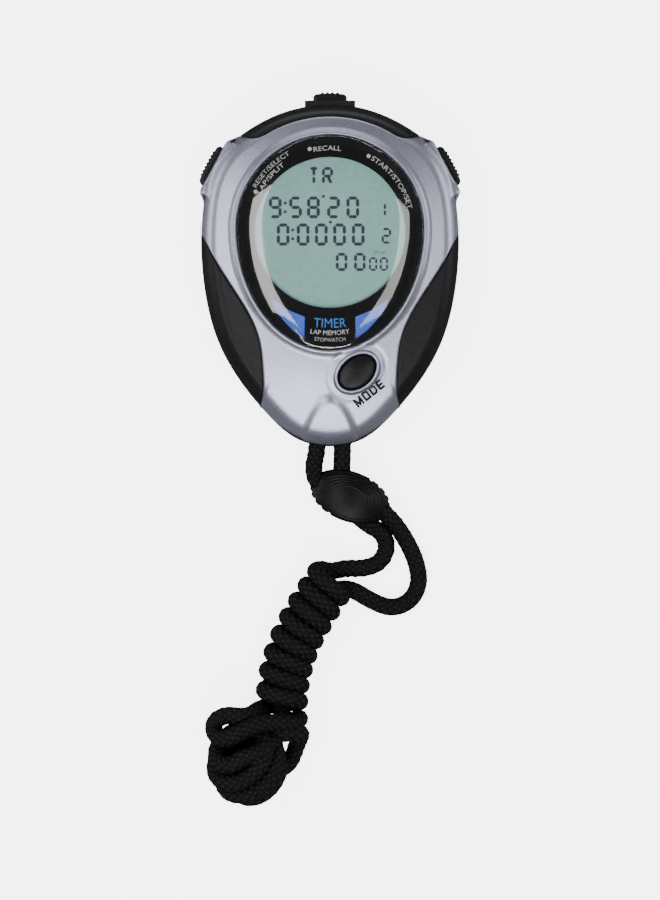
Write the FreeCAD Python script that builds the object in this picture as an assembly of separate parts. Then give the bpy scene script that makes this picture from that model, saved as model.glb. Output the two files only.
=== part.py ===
"""Handheld digital stopwatch with a braided neck lanyard.

Millimetres. The watch lies on its back: +Z comes out of the display, +Y points to the
top button and +X to the start button. The origin is under the centre of the watch, on
the surface that it lies on. Each piece is written to parts/NAME.step.
"""

import FreeCAD, Part
import math
import os

V = FreeCAD.Vector
UP = V(0, 0, 1)

# ---- driving dimensions --------------------------------------------------------------

# Right half of the egg-shaped outline, from the top centre to the nose.
EGG = [
    (0, 39.7), (11.3, 37.8), (19.2, 33.9), (25.0, 29.2), (29.0, 22.5), (30.8, 14.0),
    (31.1, 5.0), (30.0, -6.5), (27.0, -17.5), (22.0, -26.6), (15.0, -35.2),
    (8.2, -40.9), (0, -42.8),
]
CROWN_TOP = 21.0        # height of the domed front where it would peak
CROWN_RADIUS = 120.0
CROWN_Y = 6.2
EDGE_ROUND = 4.0        # rounding between the front and the side wall
REAR_ROUND = 2.2
GRIP_END = 11.6         # the grips reach up to this Y
CAP_START = 11.9        # the black case shows above this Y, outside the silver
SPLIT = 5.2             # height where the rear cover meets the front case
SKIN = 2.0              # thickness of the silver bezel and of the grips
SKIN_BOTTOM = 9.5       # the bezel's and the grips' lower edge on the side wall
SKIN_GAP = 0.1          # glue line between the skin and the case under it
CASE_INSIDE = 3.8       # inset of the case's inner face from the outline
CAVITY_END = -31.0      # the nose is solid below this Y, apart from the lanyard slot
FLOOR = 1.8             # thickness of the rear cover's floor

LENS_Y = 9.6            # centre of the lens and of the arc that it follows at the top
LENS_RADIUS = 22.6
LENS_DROP = 29.3        # from that centre down to the lens's lower tip
LENS_TOP = 22.0
LENS_DOME = 110.0
LENS_DOME_Y = 6.0
LENS_WALL = 1.8
LENS_GAP = 0.1          # between the lens's side and the bezel's opening
LIP = 1.2               # width of the bezel's raised lip round the lens
LIP_RISE = 0.5
FLANGE = 1.4            # how far the lens's flange runs out under the bezel
FLANGE_Z = (14.75, 15.45)

LCD_Y = 8.8
LCD_RADIUS = 18.6
WINDOW_RADIUS = 18.2
LCD_Z = (11.9, 13.9)
MASK_Z = (14.1, 14.65)
BOARD_Z = (7.4, 8.6)
BOARD_INSET = 5.2

HUB_Y = 9.8             # the three crown buttons point at this centre
BUTTON_Z = 9.7
BUTTON_TALL = 6.2
BUTTON_THICK = 3.3
TRAVEL = 1.2
STEM_RADIUS = 1.85
SEAL_CORE = 1.2         # the stem's radius in the seal's groove
CLIP_CORE = 1.25        # and in the clip's groove
RECESS_RADIUS = 3.0     # the hollow in a cap's back that takes the spring
RECESS_DEPTH = 1.6
SPRING_RADIUS = 2.45
SPRING_WIRE = 0.4
SPRING_TURNS = 2.75
BORE_RADIUS = 1.95
CLEAR = 0.3             # gap round a button cap in its pocket
BOSS_SIDE = 1.2         # how far the wall behind a button reaches past it on each side
BOSS_TOP = 13.4
BOSS_THICK = 3.0
CAP_GAP = 0.2           # left between a pressed cap and its pocket's floor
CAP_RIB = 0.5           # height of the ribs on a cap's outer face
STEM_TAIL = 1.6         # how far a stem stands out of the wall on the inside
SEAL_BACK = 1.9         # from the pocket's floor back to the seal's groove
SEAL_WIDTH = 0.9
CLIP_BACK = 0.8         # from the wall's inner face back to the clip's groove
CLIP_WIDTH = 0.6
LUG_SIDE = 2.0          # how far the lug reaches past a button on each side
LUG_BACK = 2.2          # how far the lug stops short of the button's outer face
LUG_FOOT = 2.4
LUG_TOP = 14.6
RECALL_LUG_TOP = 14.4
# name: (angle, distance from the hub to the outer face, width)
CROWN_BUTTONS = {
    "start_stop": (28.0, 33.9, 10.3),
    "lap_reset": (152.0, 33.9, 10.3),
    "recall": (90.0, 33.0, 8.2),
}

MODE_AT = (6.5, -24.9)
MODE_AXES = (5.4, 3.9)
MODE_TILT = 38.0
MODE_TOP = 17.7
MODE_FOOT = 10.6        # underside of the mode button's flange
MODE_RIM = 1.5          # width of the raised rim round the mode button
MODE_RIM_RISE = 0.7
MODE_FLANGE = (0.8, 0.5)    # how far the flange stands out, and its thickness

HATCH_Y = 8.0
HATCH_RADIUS = 15.0
HATCH_GAP = 0.15
NECK_RADIUS = 12.9
NECK_GAP = 0.2
LUG_REACH = 14.4
HATCH_SEAL = (14.4, 13.4)   # outer and inner radius of the hatch's seal
UNLOCK_DEG = 60.0
CELL_RADIUS = 10.0
CELL_Z = (2.9, 6.1)

REAR_SCREWS = [(14.5, 31.0), (-14.5, 31.0), (17.2, -24.0), (-17.2, -24.0)]
REAR_THREAD = 1.0       # radius of the rear screws' shanks
REAR_HEAD = 2.0
REAR_POST = 2.6         # radius of the case's posts for them
BOARD_SCREWS = [(24.2, 2.0), (-24.2, 2.0), (-7.0, -26.0)]
BOARD_THREAD = 0.8
BOARD_HEAD = 1.7
BOARD_POST = 1.7
SEAL_DEPTH = 0.85       # thickness of the case's gasket
SEAL_GROOVE = 0.9

CORD = 4.2              # diameter of the braided cord
POST_Y = -38.3          # the lanyard post stands across the slot in the nose
POST_RADIUS = 0.9
POST_Z = (3.0, 9.9)
SLOT_HALF = 5.3
SLOT_END = -32.9
SLOT_Z = (4.5, 9.5)
CORD_EXIT_Z = 7.0
STRAND_START_Y = -40.5
STRAND_HALF = 3.0       # half the spacing of the two strands at the nose

SLIDER_AT = (4.9, -55.0)
SLIDER_AXES = (10.1, 6.1)
SLIDER_TILT = -20.0
SLIDER_TALL = 9.4
SLIDER_DOME = 14.0
SLIDER_NOTCHES = (22, 38, 54, 70, 202, 218, 234, 250)
SLIDER_BORE_GAP = 0.25

# Where each strand runs, from the nose to the hank. The slider's bores hold the
# stretch between the fourth and fifth points of the left strand and between the
# third and fourth points of the right one.
LEFT_ROUTE = [
    (-3.0, -40.5, 7.0), (-3.15, -44.0, 6.9), (-4.1, -47.6, 5.6), (-3.57, -51.09, 4.4),
    (9.45, -62.02, 4.4), (12.7, -63.7, 3.1), (14.1, -67.4, 2.3), (12.3, -71.1, 2.2),
    (8.3, -72.6, 2.3), (3.6, -72.4, 3.0), (0.4, -73.3, 3.8),
]
RIGHT_ROUTE = [
    (3.0, -40.5, 7.0), (3.05, -45.2, 6.5), (2.65, -49.9, 4.4), (12.99, -58.58, 4.4),
    (16.1, -61.9, 3.0), (18.9, -66.2, 2.3), (21.1, -71.1, 2.2), (21.9, -76.2, 2.2),
    (19.6, -80.6, 2.2), (15.0, -82.4, 2.2), (10.0, -80.4, 2.3), (5.6, -77.6, 2.9),
    (2.4, -77.4, 3.7),
]
# The wound hank lies along this line, and ends in a ball-shaped knot beside it.
HANK_LINE = [
    (-0.8, -76.8, 6.9), (-3.9, -81.6, 6.9), (-7.4, -87.6, 6.9), (-9.9, -93.6, 6.9),
    (-11.4, -100.0, 6.9), (-11.9, -107.0, 6.9), (-11.4, -113.5, 6.9), (-10.2, -119.0, 6.9),
]
HANK_RADIUS = 6.5
HANK_END = 6.8          # radius of its rounded ends
KNOT_AT = (-20.4, -118.0, 9.8)
KNOT_AXES = (12.0, 9.6)     # half its height and half its width
LOBE_AT = (-25.2, -110.6, 7.4)
LOBE_RADIUS = 5.4


# ---- helpers -------------------------------------------------------------------------


def at(x, y, z=0.0):
    return V(x, y, z)


def spline(points, periodic=False):
    curve = Part.BSplineCurve()
    curve.interpolate(Points=points, PeriodicFlag=periodic)
    return curve


def egg_curve():
    right = [at(x, y) for x, y in EGG]
    left = [at(-x, y) for x, y in reversed(EGG[1:-1])]
    return spline(right + left, periodic=True)


def egg_wire(inset=0.0, z=0.0, steps=56):
    """The outline moved inwards by inset, as one smooth closed wire."""
    curve = egg_curve()
    first, last = curve.FirstParameter, curve.LastParameter
    points = []
    for step in range(steps):
        where = first + (last - first) * step / steps
        along = curve.tangent(where)[0]
        inwards = V(along.y, -along.x, 0)
        points.append(curve.value(where) + inwards * inset + UP * z)
    return Part.Wire(spline(points, periodic=True).toShape())


def crown_ball(inset=0.0, radius=CROWN_RADIUS, top=CROWN_TOP, y=CROWN_Y):
    """A large ball whose upper side is the domed front. Its seam faces down."""
    ball = Part.makeSphere(radius - inset)
    ball.rotate(V(0, 0, 0), V(1, 0, 0), -90)
    ball.rotate(V(0, 0, 0), V(0, 1, 0), 90)
    ball.translate(at(0, y, top - radius))
    return ball


def rounded(solid, low, high, radius):
    """Rounds the outline's edges whose height is between low and high."""
    edges = [e for e in solid.Edges if low < e.CenterOfMass.z < high and e.Length > 3]
    return solid.makeFillet(radius, edges)


def body_form(inset=0.0, bottom=0.0, edge=EDGE_ROUND):
    """The watch's outer shape moved inwards by inset, standing on bottom."""
    prism = Part.Face(egg_wire(inset, bottom)).extrude(UP * 30)
    solid = prism.common(crown_ball(inset)).Solids[0]
    radius = edge - 0.75 * inset
    if radius > 0.3:
        solid = rounded(solid, bottom + 1, CROWN_TOP, radius)
    return solid


def lens_wire(grow=0.0, z=0.0):
    """The lens's outline: half a circle over half an ellipse."""
    centre = at(0, LENS_Y, z)
    wide = LENS_RADIUS + grow
    circle = Part.Circle(centre, UP, wide)
    low_tip = at(0, LENS_Y - LENS_DROP - grow, z)
    ellipse = Part.Ellipse(low_tip, at(wide, LENS_Y, z), centre)
    top = Part.Arc(circle, 0, math.pi)
    start = ellipse.parameter(at(-wide, LENS_Y, z))
    end = ellipse.parameter(at(wide, LENS_Y, z))
    if end < start:
        end += 2 * math.pi
    low = Part.Arc(ellipse, start, end)
    return Part.Wire([top.toShape(), low.toShape()])


def plate(wire, height):
    return Part.Face(wire).extrude(UP * height)


def disc(radius, z, height, x=0.0, y=0.0):
    return Part.makeCylinder(radius, height, at(x, y, z))


def ring(outer, inner, z, height, x=0.0, y=0.0):
    return disc(outer, z, height, x, y).cut(disc(inner, z, height, x, y))


def slab(x, y, z):
    """A box from three (low, high) pairs."""
    return Part.makeBox(x[1] - x[0], y[1] - y[0], z[1] - z[0], at(x[0], y[0], z[0]))


def band(low, high):
    """Everything between two heights."""
    return slab((-60, 60), (-60, 60), (low, high))


def above_y(y):
    """Everything on the top button's side of y."""
    return slab((-60, 60), (y, 60), (-1, 40))


def radial(shape, angle):
    """Turns a shape built along +X from the hub to a button's own direction."""
    placed = shape.copy()
    placed.translate(at(0, HUB_Y))
    placed.rotate(at(0, HUB_Y), UP, angle)
    return placed


def one(shape):
    """The only solid in a boolean's result."""
    solids = shape.Solids
    if len(solids) != 1:
        raise ValueError(f"expected one solid, found {len(solids)}")
    return solids[0]


# ---- the silver region and the grip region -------------------------------------------


def silver_region():
    """A prism over the silver part of the front, right and left halves together."""
    top = Part.Arc(at(14.5, 33.0), at(0, 36.8), at(-14.5, 33.0)).toShape()
    waist = [
        (32.6, 11.6), (27.7, 2.1), (22.6, -6.0), (18.9, -12.3), (16.9, -18.0),
        (16.2, -24.5), (16.6, -32.0), (18.6, -36.0),
    ]
    shoulder = [(14.5, 33.0), (17.5, 31.5), (21.3, 32.0), (23.2, 33.4), (36.0, 24.0)]

    def side(sign):
        grip_edge = spline([at(sign * x, y) for x, y in waist]).toShape()
        corners = [at(sign * x, y) for x, y in shoulder]
        corners.append(at(sign * waist[0][0], waist[0][1]))
        lines = [Part.makeLine(a, b) for a, b in zip(corners, corners[1:])]
        nose = [at(sign * 18.6, -36.0), at(sign * 14, -46), at(0, -48)]
        lines += [Part.makeLine(a, b) for a, b in zip(nose, nose[1:])]
        return [grip_edge, *lines]

    edges = [top, *side(1), *side(-1)]
    wire = Part.Wire(Part.__sortEdges__(edges))
    return plate(wire, 30)


def grip_region():
    """Everything below the shoulders. The silver region is cut from it later."""
    return slab((-40, 40), (-40, CAP_START), (SKIN_BOTTOM, 30))


# ---- crown buttons -------------------------------------------------------------------


def faces_of(name):
    """Distances from the hub: outer face, inner face, pocket floor, wall's inner face."""
    outer = CROWN_BUTTONS[name][1]
    inner = outer - BUTTON_THICK
    floor = inner - TRAVEL - CAP_GAP
    return outer, inner, floor, floor - BOSS_THICK


def pocket(name):
    angle, outer, width = CROWN_BUTTONS[name]
    _, _, floor, wall = faces_of(name)
    half = width / 2 + CLEAR
    tall = BUTTON_TALL / 2 + CLEAR
    box = slab((floor, outer + 4), (-half, half), (BUTTON_Z - tall, BUTTON_Z + tall))
    bore = Part.makeCylinder(BORE_RADIUS, 8, at(wall - 1, 0, BUTTON_Z), V(1, 0, 0))
    return radial(box.fuse(bore), angle)


def button_boss(name):
    """The thick wall behind a button that guides its stem."""
    angle, _, width = CROWN_BUTTONS[name]
    _, _, floor, wall = faces_of(name)
    half = width / 2 + BOSS_SIDE
    boss = radial(slab((wall, floor), (-half, half), (SPLIT, BOSS_TOP)), angle)
    return boss.common(body_form(SKIN + SKIN_GAP, 0.0))


def lug(name, bottom, top):
    """The shoulder that stands out round a button."""
    angle, outer, width = CROWN_BUTTONS[name]
    _, _, floor, _ = faces_of(name)
    half = width / 2 + LUG_SIDE
    reach = outer - LUG_BACK
    return radial(slab((floor + SKIN_GAP, reach), (-half, half), (bottom, top)), angle)


def cap_block(name):
    """The block that the finger presses, with ribs across its outer face."""
    width = CROWN_BUTTONS[name][2]
    outer, inner, _, _ = faces_of(name)
    half, tall = width / 2, BUTTON_TALL / 2
    low, high = BUTTON_Z - tall, BUTTON_Z + tall
    cap = slab((inner, outer - CAP_RIB), (-half, half), (low, high))
    upright = [e for e in cap.Edges if abs(e.tangentAt(e.FirstParameter).x) > 0.9]
    cap = cap.makeFillet(1.0, upright)
    ribs = 6 if width > 9 else 5
    pitch = (width - 1.2) / ribs
    for n in range(ribs):
        y = -half + 0.6 + n * pitch
        across = (y + 0.18 * pitch, y + 0.82 * pitch)
        cap = cap.fuse(slab((outer - CAP_RIB - 0.1, outer), across, (low + 0.7, high - 0.7)))
    return cap


def rod(radius, x, length):
    """A round bar along a button's direction, in the middle of its height."""
    return Part.makeCylinder(radius, length, at(x, 0, BUTTON_Z), V(1, 0, 0))


def stem_groove(radius, x, width):
    """What is cut from a stem to leave it this thin over this width."""
    return rod(4, x, width).cut(rod(radius, x, width))


def button_cap(name):
    """A ribbed cap with a round stem. The stem has grooves for its seal and its clip."""
    _, inner, floor, wall = faces_of(name)
    start = wall - STEM_TAIL
    recess = rod(RECESS_RADIUS, inner, RECESS_DEPTH)
    stem = rod(STEM_RADIUS, start, inner + RECESS_DEPTH + 0.1 - start)
    shape = cap_block(name).cut(recess).fuse(stem)
    shape = shape.cut(stem_groove(SEAL_CORE, floor - SEAL_BACK, SEAL_WIDTH))
    shape = shape.cut(stem_groove(CLIP_CORE, wall - CLIP_BACK, CLIP_WIDTH))
    return radial(one(shape.removeSplitter()), CROWN_BUTTONS[name][0])


def button_seal(name):
    """An O-ring in the stem's groove."""
    middle = faces_of(name)[2] - SEAL_BACK + SEAL_WIDTH / 2
    torus = Part.makeTorus(1.55, 0.35, at(middle, 0, BUTTON_Z), V(1, 0, 0))
    return radial(torus, CROWN_BUTTONS[name][0])


def button_clip(name):
    """An E-clip that keeps the button in the case."""
    wall = faces_of(name)[3]
    start, thick = wall - CLIP_BACK + 0.05, CLIP_WIDTH - 0.1
    clip = rod(3.0, start, thick).cut(rod(CLIP_CORE, start, thick))
    mouth = slab((wall - 1, wall), (-0.9, 0.9), (BUTTON_Z - 4, BUTTON_Z))
    return radial(one(clip.cut(mouth)), CROWN_BUTTONS[name][0])


def button_spring(name):
    """A short coil spring between the pocket's floor and the cap's recess."""
    _, inner, floor, _ = faces_of(name)
    length = inner + RECESS_DEPTH - floor - SPRING_WIRE - 0.1
    helix = Part.makeHelix(length / SPRING_TURNS, length, SPRING_RADIUS)
    first = helix.Edges[0]
    start = first.valueAt(first.FirstParameter)
    along = first.tangentAt(first.FirstParameter)
    section = Part.Wire(Part.makeCircle(SPRING_WIRE / 2, start, along))
    coil = Part.Wire(helix.Edges).makePipeShell([section], True, True)
    coil.rotate(V(0, 0, 0), V(0, 1, 0), 90)
    coil.translate(at(floor + SPRING_WIRE / 2 + 0.05, 0, BUTTON_Z))
    return radial(one(coil), CROWN_BUTTONS[name][0])


def tact_switch(name):
    """The switch on the board's edge that the stem pushes."""
    reach = faces_of(name)[3] - STEM_TAIL - TRAVEL - 0.15
    body = slab((reach - 3.0, reach - 0.5), (-2.3, 2.3), (BOARD_Z[1], BOARD_Z[1] + 3.4))
    nub = rod(0.9, reach - 0.6, 0.6)
    return radial(one(body.fuse(nub)), CROWN_BUTTONS[name][0])


# ---- case shells ---------------------------------------------------------------------


def mode_wire(grow, z):
    centre = at(MODE_AT[0], MODE_AT[1], z)
    turn = math.radians(MODE_TILT)
    along = V(math.cos(turn), math.sin(turn), 0)
    across = V(-along.y, along.x, 0)
    major, minor = MODE_AXES[0] + grow, MODE_AXES[1] + grow
    ellipse = Part.Ellipse(centre + along * major, centre + across * minor, centre)
    return Part.Wire(ellipse.toShape())


def skin():
    """The outer layer of the front, whole, before it is shared out."""
    outer = body_form(0.0, 0.0)
    inner = body_form(SKIN, -1.0)
    return outer.cut(inner)


def cord_slot():
    """The opening in the nose that the cord passes through."""
    return slab((-SLOT_HALF, SLOT_HALF), (-50, SLOT_END), SLOT_Z)


def front_bezel():
    layer = skin().common(silver_region())
    layer = layer.common(band(SKIN_BOTTOM, 40))
    lip = plate(lens_wire(LIP, 15), 12).common(crown_ball(-LIP_RISE))
    lip = lip.cut(crown_ball(SKIN))
    layer = layer.fuse(lip)
    rim = plate(mode_wire(MODE_RIM, 12), 10).common(crown_ball(-MODE_RIM_RISE))
    layer = layer.fuse(rim.cut(crown_ball(SKIN)))
    for name in ("start_stop", "lap_reset"):
        layer = layer.fuse(lug(name, SKIN_BOTTOM, LUG_TOP).cut(body_form(SKIN, -1.0)))
        layer = layer.cut(pocket(name))
    layer = layer.cut(plate(lens_wire(0.0, 5), 30))
    layer = layer.cut(plate(mode_wire(CLEAR, 5), 30))
    return one(layer.cut(cord_slot()))


def side_grip(sign):
    """A black pad in the crescent between the silver and the outline."""
    layer = skin().common(grip_region()).cut(silver_region())
    half = slab((0, 60) if sign > 0 else (-60, 0), (-60, 60), (0, 40))
    layer = layer.common(half)
    layer = max(layer.Solids, key=lambda s: s.Volume)
    return one(layer.common(slab((-60, 60), (-60, GRIP_END), (0, 40))))


def front_case():
    under = body_form(SKIN + SKIN_GAP, SPLIT)
    hollow = body_form(CASE_INSIDE, SPLIT - 1)
    hollow = hollow.common(above_y(CAVITY_END))
    outer = body_form(0.0, 0.0).common(band(SPLIT, 40))
    low_band = outer.common(band(SPLIT, SKIN_BOTTOM - SKIN_GAP))
    top_cap = outer.common(above_y(CAP_START)).cut(silver_region())
    case = under.fuse(low_band).fuse(top_cap)
    for name in CROWN_BUTTONS:
        case = case.fuse(button_boss(name))
    for name in ("start_stop", "lap_reset"):
        case = case.fuse(lug(name, SPLIT, SKIN_BOTTOM - SKIN_GAP))
    case = case.fuse(lug("recall", SPLIT, RECALL_LUG_TOP))
    case = case.cut(hollow_with_bosses(hollow))
    for name in CROWN_BUTTONS:
        case = case.cut(pocket(name))
    case = case.cut(plate(mode_wire(CLEAR, 5), 30))
    posts = [(x, y, SPLIT, REAR_POST) for x, y in REAR_SCREWS]
    posts += [(x, y, BOARD_Z[1], BOARD_POST) for x, y in BOARD_SCREWS]
    for x, y, bottom, radius in posts:
        case = case.fuse(disc(radius, bottom, 20, x, y).common(body_form(SKIN + 1.0, 0)))
    case = case.cut(plate(lens_wire(FLANGE + CLEAR, 10), 20))
    for x, y in REAR_SCREWS:
        case = case.cut(disc(REAR_THREAD, SPLIT, 6.0, x, y))
    for x, y in BOARD_SCREWS:
        case = case.cut(disc(BOARD_THREAD, BOARD_Z[1], 3.4, x, y))
    case = case.cut(cord_slot()).cut(lanyard_post())
    return one(case.cut(seal_ring(SEAL_GROOVE)))


def hollow_with_bosses(hollow):
    """The hollow inside the case, less the walls that guide the crown buttons."""
    for name in CROWN_BUTTONS:
        hollow = hollow.cut(button_boss(name))
    return hollow


def seal_ring(height):
    """The gasket's space between the rear cover and the front case."""
    outer = plate(egg_wire(2.2, SPLIT), height).common(above_y(CAVITY_END - 1.2))
    inner = plate(egg_wire(3.0, SPLIT), height).common(above_y(CAVITY_END - 0.4))
    return outer.cut(inner)


def rear_cover():
    shell = body_form(0.0, 0.0).common(band(0, SPLIT))
    bottom = [e for e in shell.Edges if e.CenterOfMass.z < 0.1]
    shell = shell.makeFillet(REAR_ROUND, bottom)
    for name in CROWN_BUTTONS:
        shell = shell.fuse(lug(name, LUG_FOOT, SPLIT))
    hollow = plate(egg_wire(CASE_INSIDE, FLOOR), 10).common(above_y(CAVITY_END))
    shell = shell.cut(hollow)
    for x, y in REAR_SCREWS:
        post = disc(3.4, 0.5, SPLIT - 0.5, x, y).common(body_form(1.0, 0))
        shell = shell.fuse(post)
        shell = shell.cut(disc(2.2, 0, 2.2, x, y)).cut(disc(1.15, 0, 10, x, y))
    shell = shell.cut(disc(HATCH_RADIUS + HATCH_GAP, 0, 0.9, 0, HATCH_Y))
    shell = shell.cut(disc(NECK_RADIUS + NECK_GAP, 0, 3, 0, HATCH_Y))
    for turn in (-UNLOCK_DEG, 180 - UNLOCK_DEG):
        shell = shell.cut(hatch_lug(LUG_REACH + NECK_GAP, 0.0, 3.0, turn, 15))
    return one(shell.cut(cord_slot()).cut(lanyard_post()))


def case_seal():
    return seal_ring(SEAL_DEPTH)


# ---- battery -------------------------------------------------------------------------


def hatch_lug(reach, z, height, turn, half_angle):
    """A sector of a disc, used for the bayonet lugs and for the notches they pass."""
    sector = Part.makeCylinder(reach, height, at(0, 0, z), UP, 2 * half_angle)
    sector.rotate(V(0, 0, 0), UP, turn - half_angle)
    sector.translate(at(0, HATCH_Y))
    return sector


def battery_hatch():
    """A round lid with a coin slot, held by two bayonet lugs."""
    lid = disc(HATCH_RADIUS, 0, 0.8, 0, HATCH_Y).fuse(disc(NECK_RADIUS, 0, 2.7, 0, HATCH_Y))
    for turn in (0, 180):
        lid = lid.fuse(hatch_lug(LUG_REACH, 1.9, 0.8, turn, 12))
    lid = lid.cut(disc(NECK_RADIUS - 1.6, 1.6, 2, 0, HATCH_Y))
    coin_slot = Part.makeCylinder(25.0, 1.8, at(-0.9, HATCH_Y, -23.9), V(1, 0, 0))
    lid = lid.cut(coin_slot)
    return one(lid.cut(ring(*HATCH_SEAL, 0.3, 1.0, 0, HATCH_Y)))


def battery_hatch_seal():
    return ring(*HATCH_SEAL, 0.3, 0.55, 0, HATCH_Y)


def coin_cell():
    """A 20 mm coin cell: the wide can, and the smaller cap on the board's side."""
    can = disc(CELL_RADIUS, CELL_Z[0], 2.6, 0, HATCH_Y)
    can = can.makeFillet(0.4, [e for e in can.Edges if e.CenterOfMass.z < 3 and e.Length > 30])
    cap = disc(8.8, CELL_Z[0], CELL_Z[1] - CELL_Z[0], 0, HATCH_Y)
    return one(can.fuse(cap))


def battery_holder():
    """An open ring under the board that keeps the cell centred."""
    holder = ring(11.9, 10.25, 3.1, BOARD_Z[0] - 3.1, 0, HATCH_Y)
    window = slab((9, 13), (HATCH_Y - 2.4, HATCH_Y + 2.4), (3.0, 8.0))
    return one(holder.cut(window))


def battery_contact_negative():
    """A leaf that bows down from the board to the cell's cap."""
    a, b, c = at(-6, HATCH_Y, 7.4), at(0, HATCH_Y, 6.15), at(6, HATCH_Y, 7.4)
    low = Part.Arc(a, b, c).toShape()
    lift = UP * 0.25
    high = Part.Arc(a + lift, b + lift, c + lift).toShape()
    ends = [Part.makeLine(a, a + lift), Part.makeLine(c, c + lift)]
    face = Part.Face(Part.Wire(Part.__sortEdges__([low, high, *ends])))
    leaf = face.extrude(V(0, 4, 0))
    leaf.translate(V(0, -2, 0))
    return one(leaf.common(slab((-9, 9), (0, 20), (0, BOARD_Z[0]))))


def battery_contact_positive():
    """A blade beside the cell that presses on its rim."""
    blade = slab((10.02, 10.24), (HATCH_Y - 2.0, HATCH_Y + 2.0), (3.6, BOARD_Z[0]))
    foot = slab((10.02, 13.2), (HATCH_Y - 2.0, HATCH_Y + 2.0), (BOARD_Z[0] - 0.25, BOARD_Z[0]))
    return one(blade.fuse(foot))


# ---- display -------------------------------------------------------------------------


def lens():
    """A domed clear cap with a flange that sits under the bezel."""
    outer = plate(lens_wire(-LENS_GAP, FLANGE_Z[0]), 12)
    outer = outer.common(crown_ball(0, LENS_DOME, LENS_TOP, LENS_DOME_Y))
    flange = plate(lens_wire(FLANGE, FLANGE_Z[0]), FLANGE_Z[1] - FLANGE_Z[0])
    hollow = plate(lens_wire(-LENS_GAP - LENS_WALL, FLANGE_Z[0] - 1), 12)
    hollow = hollow.common(crown_ball(LENS_WALL, LENS_DOME, LENS_TOP, LENS_DOME_Y))
    return one(outer.fuse(flange).cut(hollow))


def lens_seal():
    wide = plate(lens_wire(FLANGE - 0.1, FLANGE_Z[1]), 0.3)
    return one(wide.cut(plate(lens_wire(0.3, FLANGE_Z[1]), 0.3)))


def lens_mask():
    """The black printed plate round the display."""
    sheet = plate(lens_wire(FLANGE - 0.1, MASK_Z[0]), MASK_Z[1] - MASK_Z[0])
    return one(sheet.cut(disc(WINDOW_RADIUS, 10, 10, 0, LCD_Y)))


def lcd_panel():
    return disc(LCD_RADIUS, LCD_Z[0], LCD_Z[1] - LCD_Z[0], 0, LCD_Y)


def lcd_frame():
    """A collar that stands on the board and holds the display by its edge."""
    collar = ring(19.8, LCD_RADIUS + 0.1, BOARD_Z[1], LCD_Z[1] - BOARD_Z[1], 0, LCD_Y)
    ledge = ring(LCD_RADIUS + 0.2, 18.1, LCD_Z[0] - 0.9, 0.9, 0, LCD_Y)
    return one(collar.fuse(ledge))


def lcd_reflector():
    sheet = disc(17.9, LCD_Z[0] - 0.3, 0.25, 0, LCD_Y)
    return one(sheet.common(slab((-20, 20), (LCD_Y - 11.8, LCD_Y + 11.8), (11, 13))))


def zebra_strip(sign):
    """A rubber connector strip between the board and the display's edge."""
    middle = LCD_Y + sign * 13.4
    return slab((-10.5, 10.5), (middle - 1.2, middle + 1.2), (BOARD_Z[1], LCD_Z[0]))


# ---- board ---------------------------------------------------------------------------


def circuit_board():
    board = plate(egg_wire(BOARD_INSET, BOARD_Z[0]), BOARD_Z[1] - BOARD_Z[0])
    board = board.common(slab((-50, 50), (CAVITY_END + 0.6, 60), (0, 40)))
    for name, (angle, _, width) in CROWN_BUTTONS.items():
        wall = faces_of(name)[3]
        end = wall - STEM_TAIL - TRAVEL - 0.25
        notch = slab((end, end + 9), (-3.6, 3.6), (5, 12))
        board = board.cut(radial(notch, angle))
        half = width / 2 + BOSS_SIDE + CLEAR
        behind = slab((wall - CLEAR, wall + 9), (-half, half), (5, 12))
        board = board.cut(radial(behind, angle))
    for x, y in REAR_SCREWS:
        board = board.cut(disc(3.0, 5, 10, x, y))
    for x, y in BOARD_SCREWS:
        board = board.cut(disc(0.95, 5, 10, x, y))
    return one(board)


def board_screws():
    screws = []
    for x, y in BOARD_SCREWS:
        head = disc(BOARD_HEAD, BOARD_Z[0] - 0.9, 0.9, x, y)
        screws.append(head.fuse(disc(BOARD_THREAD, BOARD_Z[0], 4.4, x, y)).removeSplitter())
    return Part.makeCompound([one(s) for s in screws])


def rear_screws():
    """Four cross-head screws, countersunk in wells from the back."""
    screws = []
    for x, y in REAR_SCREWS:
        head = disc(REAR_HEAD, 0.7, 1.5, x, y)
        low = [e for e in head.Edges if e.CenterOfMass.z < 0.8 and e.Length > 10]
        head = head.makeFillet(0.5, low)
        shank = disc(REAR_THREAD, 2.2, 8.6, x, y)
        cross = slab((x - 1.3, x + 1.3), (y - 0.28, y + 0.28), (0.5, 1.5))
        cross = cross.fuse(slab((x - 0.28, x + 0.28), (y - 1.3, y + 1.3), (0.5, 1.5)))
        screws.append(one(head.fuse(shank).cut(cross)))
    return Part.makeCompound(screws)


def chip_cover():
    """The epoxy drop over the bonded chip."""
    ball = Part.makeSphere(8.6)
    ball.translate(at(-4, -16.6, BOARD_Z[1] + 1.7 - 8.6))
    return one(ball.common(slab((-30, 30), (-40, 0), (BOARD_Z[1], 12))))


def quartz_crystal():
    """A small round can, lying on the board, with one rounded end."""
    radius, length, start = 1.0, 6.0, at(10.0, -14.5, BOARD_Z[1] + 1.0)
    can = Part.makeCylinder(radius, length, start, V(1, 0, 0))
    closed_end = [e for e in can.Edges if e.Length > 5 and e.CenterOfMass.x > start.x + 5]
    return can.makeFillet(0.3, closed_end)


def piezo_buzzer():
    """A brass disc with its ceramic layer, on the rear cover's floor."""
    return one(disc(7.5, FLOOR, 0.3, 0, -20.5).fuse(disc(5.6, FLOOR, 0.6, 0, -20.5)))


# ---- mode button ---------------------------------------------------------------------


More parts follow.
